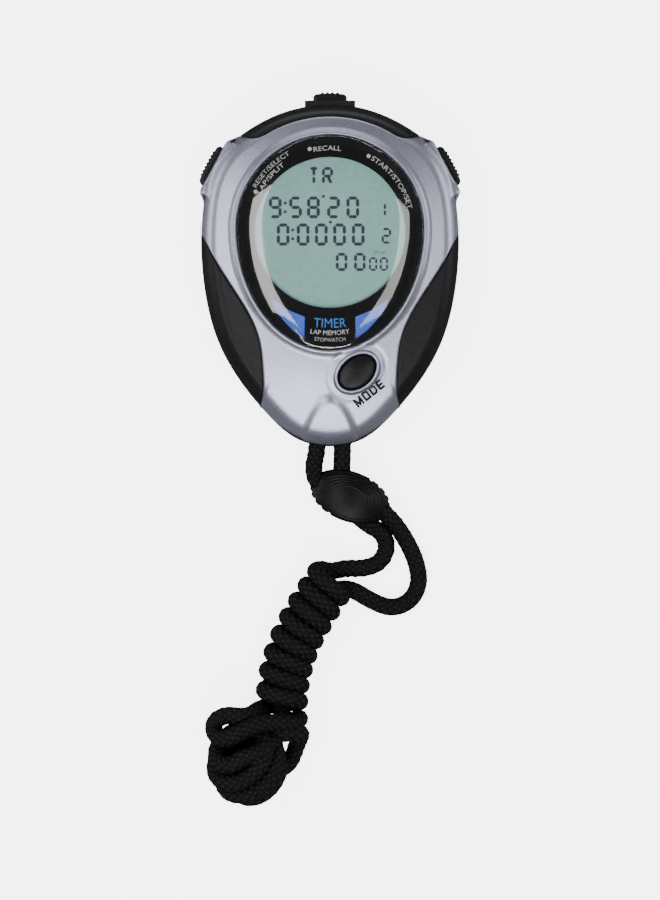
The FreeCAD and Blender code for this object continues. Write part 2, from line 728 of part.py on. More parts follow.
def mode_button():
    stem = plate(mode_wire(0.0, MODE_FOOT), MODE_TOP - MODE_FOOT)
    ball = Part.makeSphere(26)
    ball.translate(at(MODE_AT[0], MODE_AT[1], MODE_TOP - 26))
    stem = stem.common(ball)
    wider, thick = MODE_FLANGE
    flange = plate(mode_wire(wider, MODE_FOOT), thick)
    return one(stem.fuse(flange))


def mode_contact_dome():
    """The rubber dome that returns the mode button."""
    x, y = MODE_AT
    z = BOARD_Z[1]
    skirt = Part.makeCone(3.6, 2.2, 1.9, at(x, y, z))
    return one(skirt.cut(Part.makeCone(2.9, 1.7, 1.3, at(x, y, z))))


# ---- lanyard -------------------------------------------------------------------------


def lanyard_post():
    return disc(POST_RADIUS, POST_Z[0], POST_Z[1] - POST_Z[0], 0, POST_Y)


def lanyard_loop():
    """The part of the cord that is held in the nose, round the post."""
    bend = Part.makeTorus(
        STRAND_HALF, CORD / 2, at(0, POST_Y, CORD_EXIT_Z), UP, -180, 180, 180
    )
    loop = bend
    for sign in (1, -1):
        tail = Part.makeCylinder(
            CORD / 2, POST_Y - STRAND_START_Y, at(sign * STRAND_HALF, POST_Y, CORD_EXIT_Z),
            V(0, -1, 0),
        )
        loop = loop.fuse(tail)
    return one(loop.removeSplitter())


def rounded_path(points):
    """Straight runs joined by tangent arcs, each as large as its two runs allow."""
    edges, radii = [], []
    here = points[0]
    for before, corner, after in zip(points, points[1:], points[2:]):
        back, on = (before - corner), (after - corner)
        reach = 0.45 * min(back.Length, on.Length)
        back.normalize()
        on.normalize()
        turn = math.pi - back.getAngle(on)
        radius = reach / math.tan(turn / 2)
        start, end = corner + back * reach, corner + on * reach
        bisector = (back + on).normalize()
        middle = corner + bisector * (radius / math.cos(turn / 2) - radius)
        edges.append(Part.LineSegment(here, start).toShape())
        edges.append(Part.Arc(start, middle, end).toShape())
        radii.append(radius)
        here = end
    edges.append(Part.LineSegment(here, points[-1]).toShape())
    return Part.Wire(edges), radii


def tube(points, radius):
    path, radii = rounded_path([at(*p) for p in points])
    first = path.Edges[0]
    along = first.tangentAt(first.FirstParameter)
    section = Part.Wire(Part.makeCircle(radius, first.valueAt(first.FirstParameter), along))
    pipe = path.makePipeShell([section], True, False)
    return one(pipe), path, radii


def strand(name, points):
    solid, path, radii = tube(points, CORD / 2)
    section = math.pi * CORD ** 2 / 4
    share = solid.Volume / (section * path.Length)
    print(name, "length", round(path.Length, 1), "volume ratio", round(share, 4))
    print(name, "bend radii", [round(r, 1) for r in radii])
    return solid


def egg_solid(tall, wide, where):
    """An ellipsoid turned round its tall axis, in two halves so that each face has edges."""
    steps = 12
    turns = [math.pi * n / steps for n in range(steps + 1)]
    outline = [at(wide * math.sin(turn), tall * math.cos(turn)) for turn in turns]
    axis = Part.makeLine(outline[-1], outline[0])
    profile = Part.Face(Part.Wire([spline(outline).toShape(), axis]))
    half = profile.revolve(at(0, 0), V(0, 1, 0), 180)
    other = half.copy()
    other.rotate(V(0, 0, 0), V(0, 1, 0), 180)
    solid = half.fuse(other)
    solid.translate(at(*where))
    return solid


def hank():
    """The wound hank with its knot, as the closed outer shape."""
    column, _, _ = tube(HANK_LINE, HANK_RADIUS)
    ends = [egg_solid(HANK_END, HANK_END, tip) for tip in (HANK_LINE[0], HANK_LINE[-1])]
    knot = egg_solid(*KNOT_AXES, KNOT_AT)
    lobe = egg_solid(LOBE_RADIUS, LOBE_RADIUS, LOBE_AT)
    return one(column.fuse(ends).fuse(knot).fuse(lobe))


def cord_slider():
    """An oval domed bead with a notched edge. Both strands run through it."""
    edge = Part.Ellipse(at(SLIDER_AXES[0], 0), at(0, SLIDER_AXES[1]), at(0, 0))
    bead = Part.Face(Part.Wire(edge.toShape())).extrude(UP * 20)
    dome = Part.makeSphere(SLIDER_DOME, at(0, 0, SLIDER_TALL - SLIDER_DOME))
    bead = bead.common(dome)
    rims = [e for e in bead.Edges if e.Length > 30]
    low = [e for e in rims if e.CenterOfMass.z < 0.1]
    high = [e for e in rims if e.CenterOfMass.z > 3]
    bead = bead.makeFillet(1.2, high).makeFillet(0.8, low)
    for degrees in SLIDER_NOTCHES:
        turn = math.radians(degrees)
        x, y = SLIDER_AXES[0] * math.cos(turn), SLIDER_AXES[1] * math.sin(turn)
        bead = bead.cut(disc(0.55, -1, 20, x * 1.03, y * 1.03))
    bead.rotate(V(0, 0, 0), UP, SLIDER_TILT)
    bead.translate(at(*SLIDER_AT))
    wide = CORD / 2 + SLIDER_BORE_GAP
    channels = [tube(route, wide)[0] for route in (LEFT_ROUTE[1:6], RIGHT_ROUTE[1:5])]
    return one(bead.cut(channels))


# ---- everything ----------------------------------------------------------------------


def build():
    parts = {
        "front_bezel": front_bezel(),
        "front_case": front_case(),
        "rear_cover": rear_cover(),
        "left_grip": side_grip(-1),
        "right_grip": side_grip(1),
        "case_seal": case_seal(),
        "rear_screws": rear_screws(),
        "battery_hatch": battery_hatch(),
        "battery_hatch_seal": battery_hatch_seal(),
        "coin_cell": coin_cell(),
        "battery_holder": battery_holder(),
        "battery_contact_positive": battery_contact_positive(),
        "battery_contact_negative": battery_contact_negative(),
        "lens": lens(),
        "lens_seal": lens_seal(),
        "lens_mask": lens_mask(),
        "lcd_panel": lcd_panel(),
        "lcd_frame": lcd_frame(),
        "lcd_reflector": lcd_reflector(),
        "upper_zebra_strip": zebra_strip(1),
        "lower_zebra_strip": zebra_strip(-1),
        "circuit_board": circuit_board(),
        "board_screws": board_screws(),
        "chip_cover": chip_cover(),
        "quartz_crystal": quartz_crystal(),
        "piezo_buzzer": piezo_buzzer(),
        "mode_button": mode_button(),
        "mode_contact_dome": mode_contact_dome(),
        "lanyard_post": lanyard_post(),
        "lanyard_loop": lanyard_loop(),
        "left_strand": strand("left_strand", LEFT_ROUTE),
        "right_strand": strand("right_strand", RIGHT_ROUTE),
        "lanyard_hank": hank(),
        "cord_slider": cord_slider(),
    }
    for name in CROWN_BUTTONS:
        parts[f"{name}_button"] = button_cap(name)
        parts[f"{name}_seal"] = button_seal(name)
        parts[f"{name}_clip"] = button_clip(name)
        parts[f"{name}_spring"] = button_spring(name)
        parts[f"{name}_switch"] = tact_switch(name)
    return parts


def write(parts):
    os.makedirs("parts", exist_ok=True)
    for name, shape in parts.items():
        shape.exportStep(f"parts/{name}.step")
        box = shape.BoundBox
        print(
            f"{name:26s} solids {len(shape.Solids)} volume {shape.Volume:9.1f} valid {shape.isValid()}"
            f"  x {box.XMin:.1f} {box.XMax:.1f}  y {box.YMin:.1f} {box.YMax:.1f}"
            f"  z {box.ZMin:.2f} {box.ZMax:.2f}"
        )


write(build())
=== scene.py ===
"""A digital stopwatch lying face up on a pale floor, with its wound neck lanyard."""

import math

import bmesh
import bpy
import numpy as np
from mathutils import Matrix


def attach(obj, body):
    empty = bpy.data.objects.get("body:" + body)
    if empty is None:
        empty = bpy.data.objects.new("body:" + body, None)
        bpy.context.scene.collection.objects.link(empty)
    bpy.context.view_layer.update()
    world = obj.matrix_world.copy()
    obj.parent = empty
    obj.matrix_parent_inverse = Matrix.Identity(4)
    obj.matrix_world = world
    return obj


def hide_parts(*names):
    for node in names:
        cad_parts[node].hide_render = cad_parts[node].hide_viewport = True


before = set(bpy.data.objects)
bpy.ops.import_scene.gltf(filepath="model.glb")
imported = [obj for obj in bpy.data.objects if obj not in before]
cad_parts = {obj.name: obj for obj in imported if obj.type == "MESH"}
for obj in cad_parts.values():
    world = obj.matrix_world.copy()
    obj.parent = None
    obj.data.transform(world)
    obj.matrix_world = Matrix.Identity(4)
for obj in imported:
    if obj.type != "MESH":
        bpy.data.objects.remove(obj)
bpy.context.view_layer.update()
MM = 0.001
WATCH = "watch"

# ---- camera ----

AIM = (0.0, -43.67)         # the middle of the view, in millimetres
CAMERA_HEIGHT = 1215.0
VIEW_TALL = 216.9           # what the view's long side covers at the watch's front
FRONT_HEIGHT = 15.0


def make_camera():
    data = bpy.data.cameras.new("camera")
    data.sensor_width = 36.0
    data.lens = data.sensor_width * (CAMERA_HEIGHT - FRONT_HEIGHT) / VIEW_TALL
    data.clip_start, data.clip_end = 0.01, 10.0
    camera = bpy.data.objects.new("camera", data)
    bpy.context.scene.collection.objects.link(camera)
    camera.location = (AIM[0] * MM, AIM[1] * MM, CAMERA_HEIGHT * MM)
    bpy.context.scene.camera = camera


make_camera()

# ---- the lanyard's cord ----

CORD = 4.2
LEFT_ROUTE = [
    (-3.0, -40.5, 7.0), (-3.15, -44.0, 6.9), (-4.1, -47.6, 5.6), (-3.57, -51.09, 4.4),
    (9.45, -62.02, 4.4), (12.7, -63.7, 3.1), (14.1, -67.4, 2.3), (12.3, -71.1, 2.2),
    (8.3, -72.6, 2.3), (3.6, -72.4, 3.0), (0.4, -73.3, 3.8),
]
RIGHT_ROUTE = [
    (3.0, -40.5, 7.0), (3.05, -45.2, 6.5), (2.65, -49.9, 4.4), (12.99, -58.58, 4.4),
    (16.1, -61.9, 3.0), (18.9, -66.2, 2.3), (21.1, -71.1, 2.2), (21.9, -76.2, 2.2),
    (19.6, -80.6, 2.2), (15.0, -82.4, 2.2), (10.0, -80.4, 2.3), (5.6, -77.6, 2.9),
    (2.4, -77.4, 3.7),
]
# The bores are long straight runs, so a point near each end keeps the bends short.
LEFT_BORE = [(-0.71, -53.49, 4.4), (6.48, -59.53, 4.4)]
RIGHT_BORE = [(6.6, -53.22, 4.4), (9.34, -55.52, 4.4)]
HANK_LINE = [
    (-0.8, -76.8), (-3.9, -81.6), (-7.4, -87.6), (-9.9, -93.6),
    (-11.4, -100.0), (-11.9, -107.0), (-11.4, -113.5), (-10.2, -119.0),
]
HANK_HEIGHT = 6.9
WRAP_RADIUS = 4.4
WRAP_PITCH = 4.25
WRAP_STEPS = 14             # points in each turn
FIRST_WRAP = (-1.8, 32.2)   # along the hank line, from the left side of the hank
SECOND_WRAP = (34.7, 38.95) # from its right side
INTO_WRAP = [(-2.0, -72.6, 4.2)]
# A fold that leaves the hank, goes round the lobe beside the knot and comes back over it.
LOBE_FOLD = [
    (-17.2, -106.4, 9.0), (-19.4, -107.9, 12.2), (-22.0, -108.0, 13.4), (-24.9, -107.6, 12.6),
    (-27.8, -108.9, 11.2), (-28.3, -111.6, 11.0), (-26.6, -113.7, 13.0), (-23.7, -112.9, 15.2),
    (-20.8, -111.2, 15.6), (-17.6, -109.9, 14.8), (-14.4, -109.4, 13.6), (-11.0, -109.5, 12.4),
    (-8.4, -110.2, 10.0),
]
HANK_TIP = [(-8.0, -115.2, 3.4), (-8.9, -117.8, 4.0), (-10.0, -120.0, 5.4), (-12.4, -121.2, 6.4)]
KNOT_CENTRE = (-20.1, -119.5, 9.5)
KNOT_AXES = (8.0, 8.5, 7.3)
KNOT_POLE = (-0.42, 0.60, 0.68)
KNOT_TURNS = 3.75
KNOT_LATITUDES = (-62.0, 56.0)
KNOT_TO_CORE = [(-17.6, -117.0, 16.2), (-14.8, -114.8, 14.0), (-12.8, -113.0, 10.4)]
CORE = (36.0, 4.0)          # the straight strand inside the wraps
FROM_CORE = [(-0.1, -77.9, 5.4)]


def along_hank(distance):
    """The point at this distance down the hank's middle, and its direction."""
    line = np.array(HANK_LINE)
    steps = np.linalg.norm(np.diff(line, axis=0), axis=1)
    places = np.concatenate([[0.0], np.cumsum(steps)])
    ahead, behind = distance + 2.5, distance - 2.5
    near = [
        np.array([np.interp(d, places, line[:, k]) for k in (0, 1)])
        + (min(d, 0.0) + max(d - places[-1], 0.0)) * (line[1] - line[0]) / steps[0]
        for d in (behind, distance, ahead)
    ]
    middle = (near[0] + 2 * near[1] + near[2]) / 4
    direction = near[2] - near[0]
    return middle, direction / np.linalg.norm(direction)


def wraps(first, last, start_turn):
    """Turns round the hank between two distances along it, from start_turn in turns."""
    radius = WRAP_RADIUS / math.cos(math.pi / WRAP_STEPS)
    count = round((last - first) / WRAP_PITCH * WRAP_STEPS)
    points = []
    for step in range(count + 1):
        distance = first + (last - first) * step / count
        angle = -2 * math.pi * (start_turn + (distance - first) / WRAP_PITCH)
        middle, (tx, ty) = along_hank(distance)
        aside, up = radius * math.cos(angle), radius * math.sin(angle)
        points.append((middle[0] - ty * aside, middle[1] + tx * aside, HANK_HEIGHT + up))
    return points


def knot_turns():
    """Turns over a ball, from its lower right to its upper left."""
    pole = np.array(KNOT_POLE) / np.linalg.norm(KNOT_POLE)
    east = np.cross(pole, (0, 0, 1.0))
    east /= np.linalg.norm(east)
    north = np.cross(pole, east)
    count = round(KNOT_TURNS * (WRAP_STEPS + 2))
    points = []
    for step in range(count + 1):
        share = step / count
        rise = math.radians(np.interp(share, (0, 1), KNOT_LATITUDES))
        turn = 2 * math.pi * KNOT_TURNS * share
        flat = math.cos(turn) * east + math.sin(turn) * north
        place = math.sin(rise) * pole + math.cos(rise) * flat
        points.append(tuple(np.array(KNOT_CENTRE) + np.array(KNOT_AXES) * place))
    return points


def core_points():
    first, last = CORE
    steps = 7
    points = []
    for step in range(steps + 1):
        middle, _ = along_hank(first + (last - first) * step / steps)
        points.append((middle[0], middle[1], HANK_HEIGHT))
    return points


def cord_route():
    left = LEFT_ROUTE[:4] + LEFT_BORE + LEFT_ROUTE[4:]
    right = RIGHT_ROUTE[:3] + RIGHT_BORE + RIGHT_ROUTE[3:]
    return [
        *left, *INTO_WRAP, *wraps(*FIRST_WRAP, 0.5), *LOBE_FOLD,
        *wraps(*SECOND_WRAP, 0.0), *HANK_TIP, *knot_turns(), *KNOT_TO_CORE,
        *core_points(), *FROM_CORE, *reversed(right),
    ]


def cord_centreline():
    """The lanyard as one NURBS curve, and the points that it runs through."""
    data = bpy.data.curves.new("lanyard_line", "CURVE")
    data.dimensions = "3D"
    data.resolution_u = 8
    route = cord_route()
    spline = data.splines.new("NURBS")
    spline.points.add(len(route) - 1)
    for point, (x, y, z) in zip(spline.points, route):
        point.co = (x * MM, y * MM, z * MM, 1.0)
    spline.order_u = 3
    spline.use_endpoint_u = True
    holder = bpy.data.objects.new("lanyard_line", data)
    mesh = bpy.data.meshes.new_from_object(holder)
    line = np.array([vertex.co for vertex in mesh.vertices], float)
    bpy.data.meshes.remove(mesh)
    bpy.data.objects.remove(holder)
    bpy.data.curves.remove(data)
    return line


BRAID_ROWS = 26             # points round the cord
BRAID_STEP = 0.36           # between its rings, in millimetres
BRAID_CELLS = 7             # yarns of each hand round the cord
BRAID_LAY = 1.9             # how far along the cord one cell repeats
BRAID_HEIGHT = 0.36


def spaced(points, step):
    """The line again with its points a step apart."""
    sizes = np.linalg.norm(np.diff(points, axis=0), axis=1)
    places = np.concatenate([[0.0], np.cumsum(sizes)])
    at = np.linspace(0.0, places[-1], round(places[-1] / step) + 1)
    return np.stack([np.interp(at, places, points[:, k]) for k in range(3)], axis=1), at


def frames_along(points):
    """Two directions across the line at each point, turned as little as possible."""
    ahead = np.gradient(points, axis=0)
    ahead /= np.linalg.norm(ahead, axis=1)[:, None]
    side = np.cross(ahead[0], (0.0, 0.0, 1.0))
    sides = []
    for direction in ahead:
        side = side - direction * (side @ direction)
        side = side / np.linalg.norm(side)
        sides.append(side)
    sides = np.array(sides)
    return sides, np.cross(ahead, sides)


def braid_height(along, around):
    """How proud the yarns stand, from 0 to 1. Both inputs are counted in cells."""
    first, second = around + along, around - along
    column, row = np.floor(first), np.floor(second)
    over = np.mod(column + row, 2) < 1
    across = np.where(over, first - column, second - row)
    ends = np.where(over, second - row, first - column)
    dome = np.sqrt(np.clip(1 - (2 * across - 1) ** 2, 0, 1))
    return dome * (0.55 + 0.45 * np.sin(np.pi * ends))


def mesh_object(name, vertices, faces, body=WATCH, smooth=True):
    """A mesh from millimetres, riding on a body of the watch."""
    mesh = bpy.data.meshes.new(name)
    mesh.from_pydata((np.array(vertices, float) * MM).tolist(), [], faces)
    mesh.validate()
    if smooth:
        mesh.shade_smooth()
    thing = bpy.data.objects.new(name, mesh)
    bpy.context.scene.collection.objects.link(thing)
    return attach(thing, body)


def braided_tube(name, points, radius):
    """A closed braided tube. Its UV map counts braid cells round and along it."""
    centres, at = spaced(points, BRAID_STEP)
    sides, ups = frames_along(centres)
    turns = np.arange(BRAID_ROWS) / BRAID_ROWS
    along = at[:, None] / BRAID_LAY
    proud = braid_height(along, BRAID_CELLS * turns[None, :])
    reach = radius + BRAID_HEIGHT * (proud - 0.7)
    reach[[0, -1]] *= 0.8
    angles = 2 * math.pi * turns
    rings = (
        centres[:, None, :]
        + reach[:, :, None] * np.cos(angles)[None, :, None] * sides[:, None, :]
        + reach[:, :, None] * np.sin(angles)[None, :, None] * ups[:, None, :]
    )
    count = len(centres)
    faces = [
        (ring * BRAID_ROWS + k, ring * BRAID_ROWS + (k + 1) % BRAID_ROWS,
         (ring + 1) * BRAID_ROWS + (k + 1) % BRAID_ROWS, (ring + 1) * BRAID_ROWS + k)
        for ring in range(count - 1)
        for k in range(BRAID_ROWS)
    ]
    last = (count - 1) * BRAID_ROWS
    faces.append(tuple(reversed(range(BRAID_ROWS))))
    faces.append(tuple(last + k for k in range(BRAID_ROWS)))
    tube = mesh_object(name, rings.reshape(-1, 3), faces)
    layer = tube.data.uv_layers.new(name="braid")
    for polygon in tube.data.polygons[:-2]:
        ring, k = divmod(polygon.index, BRAID_ROWS)
        corners = ((ring, k), (ring, k + 1), (ring + 1, k + 1), (ring + 1, k))
        for loop, (r, c) in zip(polygon.loop_indices, corners):
            layer.data[loop].uv = (BRAID_CELLS * c / BRAID_ROWS, at[r] / BRAID_LAY)
    return tube


line = cord_centreline() / MM
lanyard = braided_tube("lanyard_cord", line, CORD / 2)
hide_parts("left_strand", "right_strand", "lanyard_hank")

# ---- materials ----


class Nodes:
    """Short ways to add shader nodes to one material."""

    def __init__(self, name):
        self.material = bpy.data.materials.new(name)
        self.material.use_nodes = True
        self.tree = self.material.node_tree
        self.tree.nodes.clear()

    def add(self, kind, **values):
        node = self.tree.nodes.new(kind)
        for key, value in values.items():
            self.put(node, key, value)
        return node

    def put(self, node, key, value):
        """Sets a node's property, or joins or sets its input of that name."""
        if key in node.inputs or key.isdigit():
            socket = node.inputs[int(key) if key.isdigit() else key]
            if isinstance(value, bpy.types.NodeSocket):
                self.tree.links.new(value, socket)
            else:
                socket.default_value = value
        else:
            setattr(node, key, value)

    def math(self, operation, a, b=0.0):
        node = self.add("ShaderNodeMath", operation=operation)
        self.put(node, "0", a)
        self.put(node, "1", b)
        return node.outputs[0]

    def mix(self, factor, low, high):
        node = self.tree.nodes.new("ShaderNodeMix")
        node.data_type = "RGBA"
        self.tree.links.new(factor, node.inputs["Factor"])
        for name, value in (("A", low), ("B", high)):
            socket = next(i for i in node.inputs if i.name == name and i.type == "RGBA")
            socket.default_value = (*value, 1.0)
        return next(o for o in node.outputs if o.type == "RGBA")

    def noise(self, scale, detail=2.0):
        where = self.add("ShaderNodeTexCoord").outputs["Object"]
        node = self.add("ShaderNodeTexNoise", Vector=where, Scale=scale, Detail=detail)
        return next(o for o in node.outputs if o.type == "VALUE")

    def bump(self, height, distance, strength=1.0):
        return self.add(
            "ShaderNodeBump", Height=height, Distance=distance, Strength=strength
        ).outputs["Normal"]

    def finish(self, shader):
        output = self.tree.nodes.new("ShaderNodeOutputMaterial")
        self.tree.links.new(shader, output.inputs["Surface"])
        return self.material


PLASTIC_GRAIN, PLASTIC_DEPTH = 1600.0, 0.00001


def grained(name, low, high, scale, roughness, depth, **more):
    """A finish whose colour runs between two values over fine noise, with a fine bump."""
    nodes = Nodes(name)
    grain = nodes.noise(scale)
    spread = nodes.add("ShaderNodeMapRange", Value=grain)
    nodes.put(spread, "From Min", 0.35)
    nodes.put(spread, "From Max", 0.65)
    colour = nodes.mix(spread.outputs[0], low, high)
    shader = nodes.add("ShaderNodeBsdfPrincipled", Roughness=roughness)
    nodes.put(shader, "Base Color", colour)
    if depth:
        nodes.put(shader, "Normal", nodes.bump(grain, depth))
    for key, value in more.items():
        nodes.put(shader, key.replace("_", " "), value)
    return nodes.finish(shader.outputs[0])


def plastic(name, colour, roughness=0.4, spread=0.1, **more):
    """A finish near one colour, with a fine grain a tenth lighter and darker."""
    low, high = ([share * channel for channel in colour] for share in (1 - spread, 1 + spread))
    return grained(name, low, high, PLASTIC_GRAIN, roughness, PLASTIC_DEPTH, **more)


def braid_material():
    """Black yarn whose crossings are drawn from the cord's own UV map."""
    nodes = Nodes("cord_black")
    layer = nodes.add("ShaderNodeUVMap", uv_map="braid")
    place = nodes.add("ShaderNodeSeparateXYZ", Vector=layer.outputs[0])
    around, along = place.outputs[0], place.outputs[1]
    first = nodes.math("ADD", around, along)
    second = nodes.math("SUBTRACT", around, along)
    parity = nodes.math("ADD", nodes.math("FLOOR", first), nodes.math("FLOOR", second))
    over = nodes.math("LESS_THAN", nodes.math("FLOORED_MODULO", parity, 2.0), 0.5)
    sides = [nodes.math("SUBTRACT", x, nodes.math("FLOOR", x)) for x in (first, second)]
    under = nodes.math("SUBTRACT", 1.0, over)

    def chosen(when_over, when_under):
        parts = nodes.math("MULTIPLY", when_over, over), nodes.math("MULTIPLY", when_under, under)
        return nodes.math("ADD", *parts)

    across, ends = chosen(*sides), chosen(*sides[::-1])
    dome = nodes.math("SINE", nodes.math("MULTIPLY", across, math.pi))
    crown = nodes.math("SINE", nodes.math("MULTIPLY", ends, math.pi))
    yarn = nodes.math("MULTIPLY", dome, crown)
    threads = nodes.math("SINE", nodes.math("MULTIPLY", across, 6 * math.pi))
    height = nodes.math("ADD", yarn, nodes.math("MULTIPLY", threads, 0.12))
    # The colour is lighter on each yarn's crown and darker in the gaps between yarns, broken up by
    # random flecks: a painted highlight and painted shade.
    flecks = nodes.noise(900.0, 3.0)
    flecked_crown_sheen = nodes.math("MULTIPLY", nodes.math("POWER", yarn, 1.5), flecks)
    colour = nodes.mix(flecked_crown_sheen, (0.0006, 0.0006, 0.0008), (0.012, 0.012, 0.012))
    shader = nodes.add("ShaderNodeBsdfPrincipled", Roughness=0.62)
    nodes.put(shader, "Base Color", colour)
    nodes.put(shader, "Normal", nodes.bump(height, 0.00025))
    nodes.put(shader, "Specular IOR Level", 0.12)
    return nodes.finish(shader.outputs[0])


def paint(thing, material):
    thing.data.materials.clear()
    thing.data.materials.append(material)
    return thing


silver = grained(
    "silver_paint", (0.215, 0.22, 0.285), (0.35, 0.358, 0.445),
    5200.0, 0.36, 0.000006, Metallic=0.85,
)
case_black = grained(
    "case_black", (0.004, 0.004, 0.005), (0.007, 0.007, 0.008),
    1800.0, 0.33, 0.00001, Specular_IOR_Level=0.3,
)
grip_black = grained(
    "grip_black", (0.002, 0.002, 0.003), (0.006, 0.006, 0.007),
    2600.0, 0.45, 0.00005, Specular_IOR_Level=0.16,
)
button_black = grained(
    "button_black", (0.002, 0.002, 0.003), (0.006, 0.006, 0.007),
    2600.0, 0.4, 0.00002, Specular_IOR_Level=0.2,
)
slider_black = grained(
    "slider_black", (0.001, 0.001, 0.001), (0.004, 0.004, 0.004),
    1200.0, 0.42, 0.00001, Specular_IOR_Level=0.12,
)
mask_print = grained(
    "mask_print", (0.0015, 0.0015, 0.002), (0.003, 0.003, 0.0035),
    1500.0, 0.35, 0.0, Specular_IOR_Level=0.1,
)
display = grained(
    "display", (0.20, 0.37, 0.34), (0.22, 0.40, 0.37),
    900.0, 0.5, 0.0, Specular_IOR_Level=0.1,
)
seal_rubber = plastic("seal_rubber", (0.015, 0.015, 0.015), 0.7)
steel = plastic("screw_steel", (0.60, 0.60, 0.62), 0.3, Metallic=1.0)
inner_plastic = plastic("inner_plastic", (0.55, 0.55, 0.52), 0.5)
brass = plastic("contact_brass", (0.70, 0.52, 0.25), 0.3, Metallic=1.0)
reflector = plastic("reflector", (0.75, 0.76, 0.74), 0.35)
board_green = grained(
    "board_green", (0.02, 0.14, 0.06), (0.03, 0.18, 0.08),
    600.0, 0.4, 0.0,
)
epoxy = plastic("epoxy", (0.01, 0.01, 0.01), 0.25)
dome_rubber = plastic("dome_rubber", (0.35, 0.35, 0.36), 0.6)
cord_black = braid_material()


LENS_FACE, LENS_EDGE, LENS_FALLOFF = 0.085, 0.7, 4.0  # mirrored share: face on, more edge on, how late


def lens_material():
    """Clear plastic: what is under it shows straight through, with a mirror on top."""
    nodes = Nodes("clear_lens")
    clear = nodes.add("ShaderNodeBsdfTransparent")
    mirror = nodes.add("ShaderNodeBsdfGlossy", Roughness=0.07)
    facing = nodes.add("ShaderNodeLayerWeight", Blend=0.5).outputs["Facing"]
    edge_on = nodes.math("POWER", facing, LENS_FALLOFF)
    share = nodes.math("ADD", nodes.math("MULTIPLY", edge_on, LENS_EDGE), LENS_FACE)
    both = nodes.add("ShaderNodeMixShader")
    nodes.put(both, "0", share)
    nodes.put(both, "1", clear.outputs[0])
    nodes.put(both, "2", mirror.outputs[0])
    return nodes.finish(both.outputs[0])


clear_lens = lens_material()
# A material, a slot name, and the nodes that wear it.
NODE_FINISH = [
    (silver, "silver_paint", "front_bezel"),
    (case_black, "case_black", "front_case rear_cover battery_hatch"),
    (grip_black, "grip_black", "left_grip right_grip"),
    (seal_rubber, "seal_rubber", "case_seal battery_hatch_seal lens_seal"),
    (steel, "screw_steel", "rear_screws board_screws quartz_crystal lanyard_post"),
    (steel, "cell_steel", "coin_cell"),
    (inner_plastic, "inner_plastic", "battery_holder lcd_frame"),
    (brass, "contact_brass", "battery_contact_positive battery_contact_negative piezo_buzzer"),
    (clear_lens, "clear_lens", "lens"),
    (mask_print, "mask_print", "lens_mask"),
    (display, "display", "lcd_panel"),
    (reflector, "reflector", "lcd_reflector"),
    (dome_rubber, "dome_rubber", "upper_zebra_strip lower_zebra_strip mode_contact_dome"),
    (board_green, "board_green", "circuit_board"),
    (epoxy, "epoxy", "chip_cover"),
    (button_black, "button_black", "mode_button"),
    (cord_black, "cord_black", "lanyard_loop left_strand right_strand lanyard_hank"),
    (slider_black, "slider_black", "cord_slider"),
]
for button in ("start_stop", "lap_reset", "recall"):
    NODE_FINISH += [
        (button_black, "button_black", f"{button}_button"),
        (seal_rubber, "seal_rubber", f"{button}_seal"),
        (steel, "screw_steel", f"{button}_clip {button}_spring"),
        (inner_plastic, "inner_plastic", f"{button}_switch"),
    ]
for material, slot, nodes in NODE_FINISH:
    for node in nodes.split():
        paint(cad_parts[node], material)
paint(lanyard, cord_black)

# ---- the watch's outline ----

EGG = [
    (0, 39.7), (11.3, 37.8), (19.2, 33.9), (25.0, 29.2), (29.0, 22.5), (30.8, 14.0),
    (31.1, 5.0), (30.0, -6.5), (27.0, -17.5), (22.0, -26.6), (15.0, -35.2),
    (8.2, -40.9), (0, -42.8),
]
CROWN_TOP, CROWN_RADIUS, CROWN_Y = 21.0, 120.0, 6.2
EDGE_ROUND = 4.0
SKIN_BOTTOM = 9.5
LENS_Y, LENS_RADIUS, LENS_DROP = 9.6, 22.6, 29.3
HUB_Y = 9.8
MODE_AT, MODE_AXES, MODE_TILT = (6.5, -24.9), (5.4, 3.9), 38.0


def through(points, closed=False, per=24):
    """A smooth curve through the points, as many short steps."""
    knots = np.array(points, float)
    if closed:
        knots = np.vstack([knots, knots[:1]])
    gaps = np.linalg.norm(np.diff(knots, axis=0), axis=1)
    count = len(knots)
    system, known = np.zeros((count, count)), np.zeros((count, 2))
    for k in range(1, count - 1):
        system[k, k - 1:k + 2] = gaps[k - 1], 2 * (gaps[k - 1] + gaps[k]), gaps[k]
        slope = (knots[k + 1] - knots[k]) / gaps[k] - (knots[k] - knots[k - 1]) / gaps[k - 1]
        known[k] = 6 * slope
    if closed:
        system[0, [0, 1, -2]] = 2 * (gaps[0] + gaps[-1]), gaps[0], gaps[-1]
        known[0] = 6 * ((knots[1] - knots[0]) / gaps[0] - (knots[-1] - knots[-2]) / gaps[-1])
        system[-1, 0], system[-1, -1] = 1, -1
    else:
        system[0, 0] = system[-1, -1] = 1
    bend = np.linalg.solve(system, known)
    line = []
    for k, gap in enumerate(gaps):
        for step in range(per):
            b = step / per
            a = 1 - b
            line.append(
                a * knots[k] + b * knots[k + 1]
                + ((a**3 - a) * bend[k] + (b**3 - b) * bend[k + 1]) * gap**2 / 6
            )
    if not closed:
        line.append(knots[-1])
    return np.array(line)


def pairs(x, y):
    return np.stack([x, y], axis=1)


def whole_turn(steps):
    """Evenly spaced angles round a circle."""
    return 2 * math.pi * np.arange(steps) / steps


def turned(points, at, degrees):
    """The points turned about the origin and then moved by at."""
    turn = math.radians(degrees)
    x, y = points[:, 0], points[:, 1]
    across = at[0] + x * math.cos(turn) - y * math.sin(turn)
    up = at[1] + x * math.sin(turn) + y * math.cos(turn)
    return pairs(across, up)


def at_height(flat, height):
    """Flat points lifted to one height, or to one height each."""
    return np.column_stack([flat[:, 0], flat[:, 1], np.broadcast_to(height, len(flat))])


def mirrored(points):
    return [(-x, y) for x, y in points]


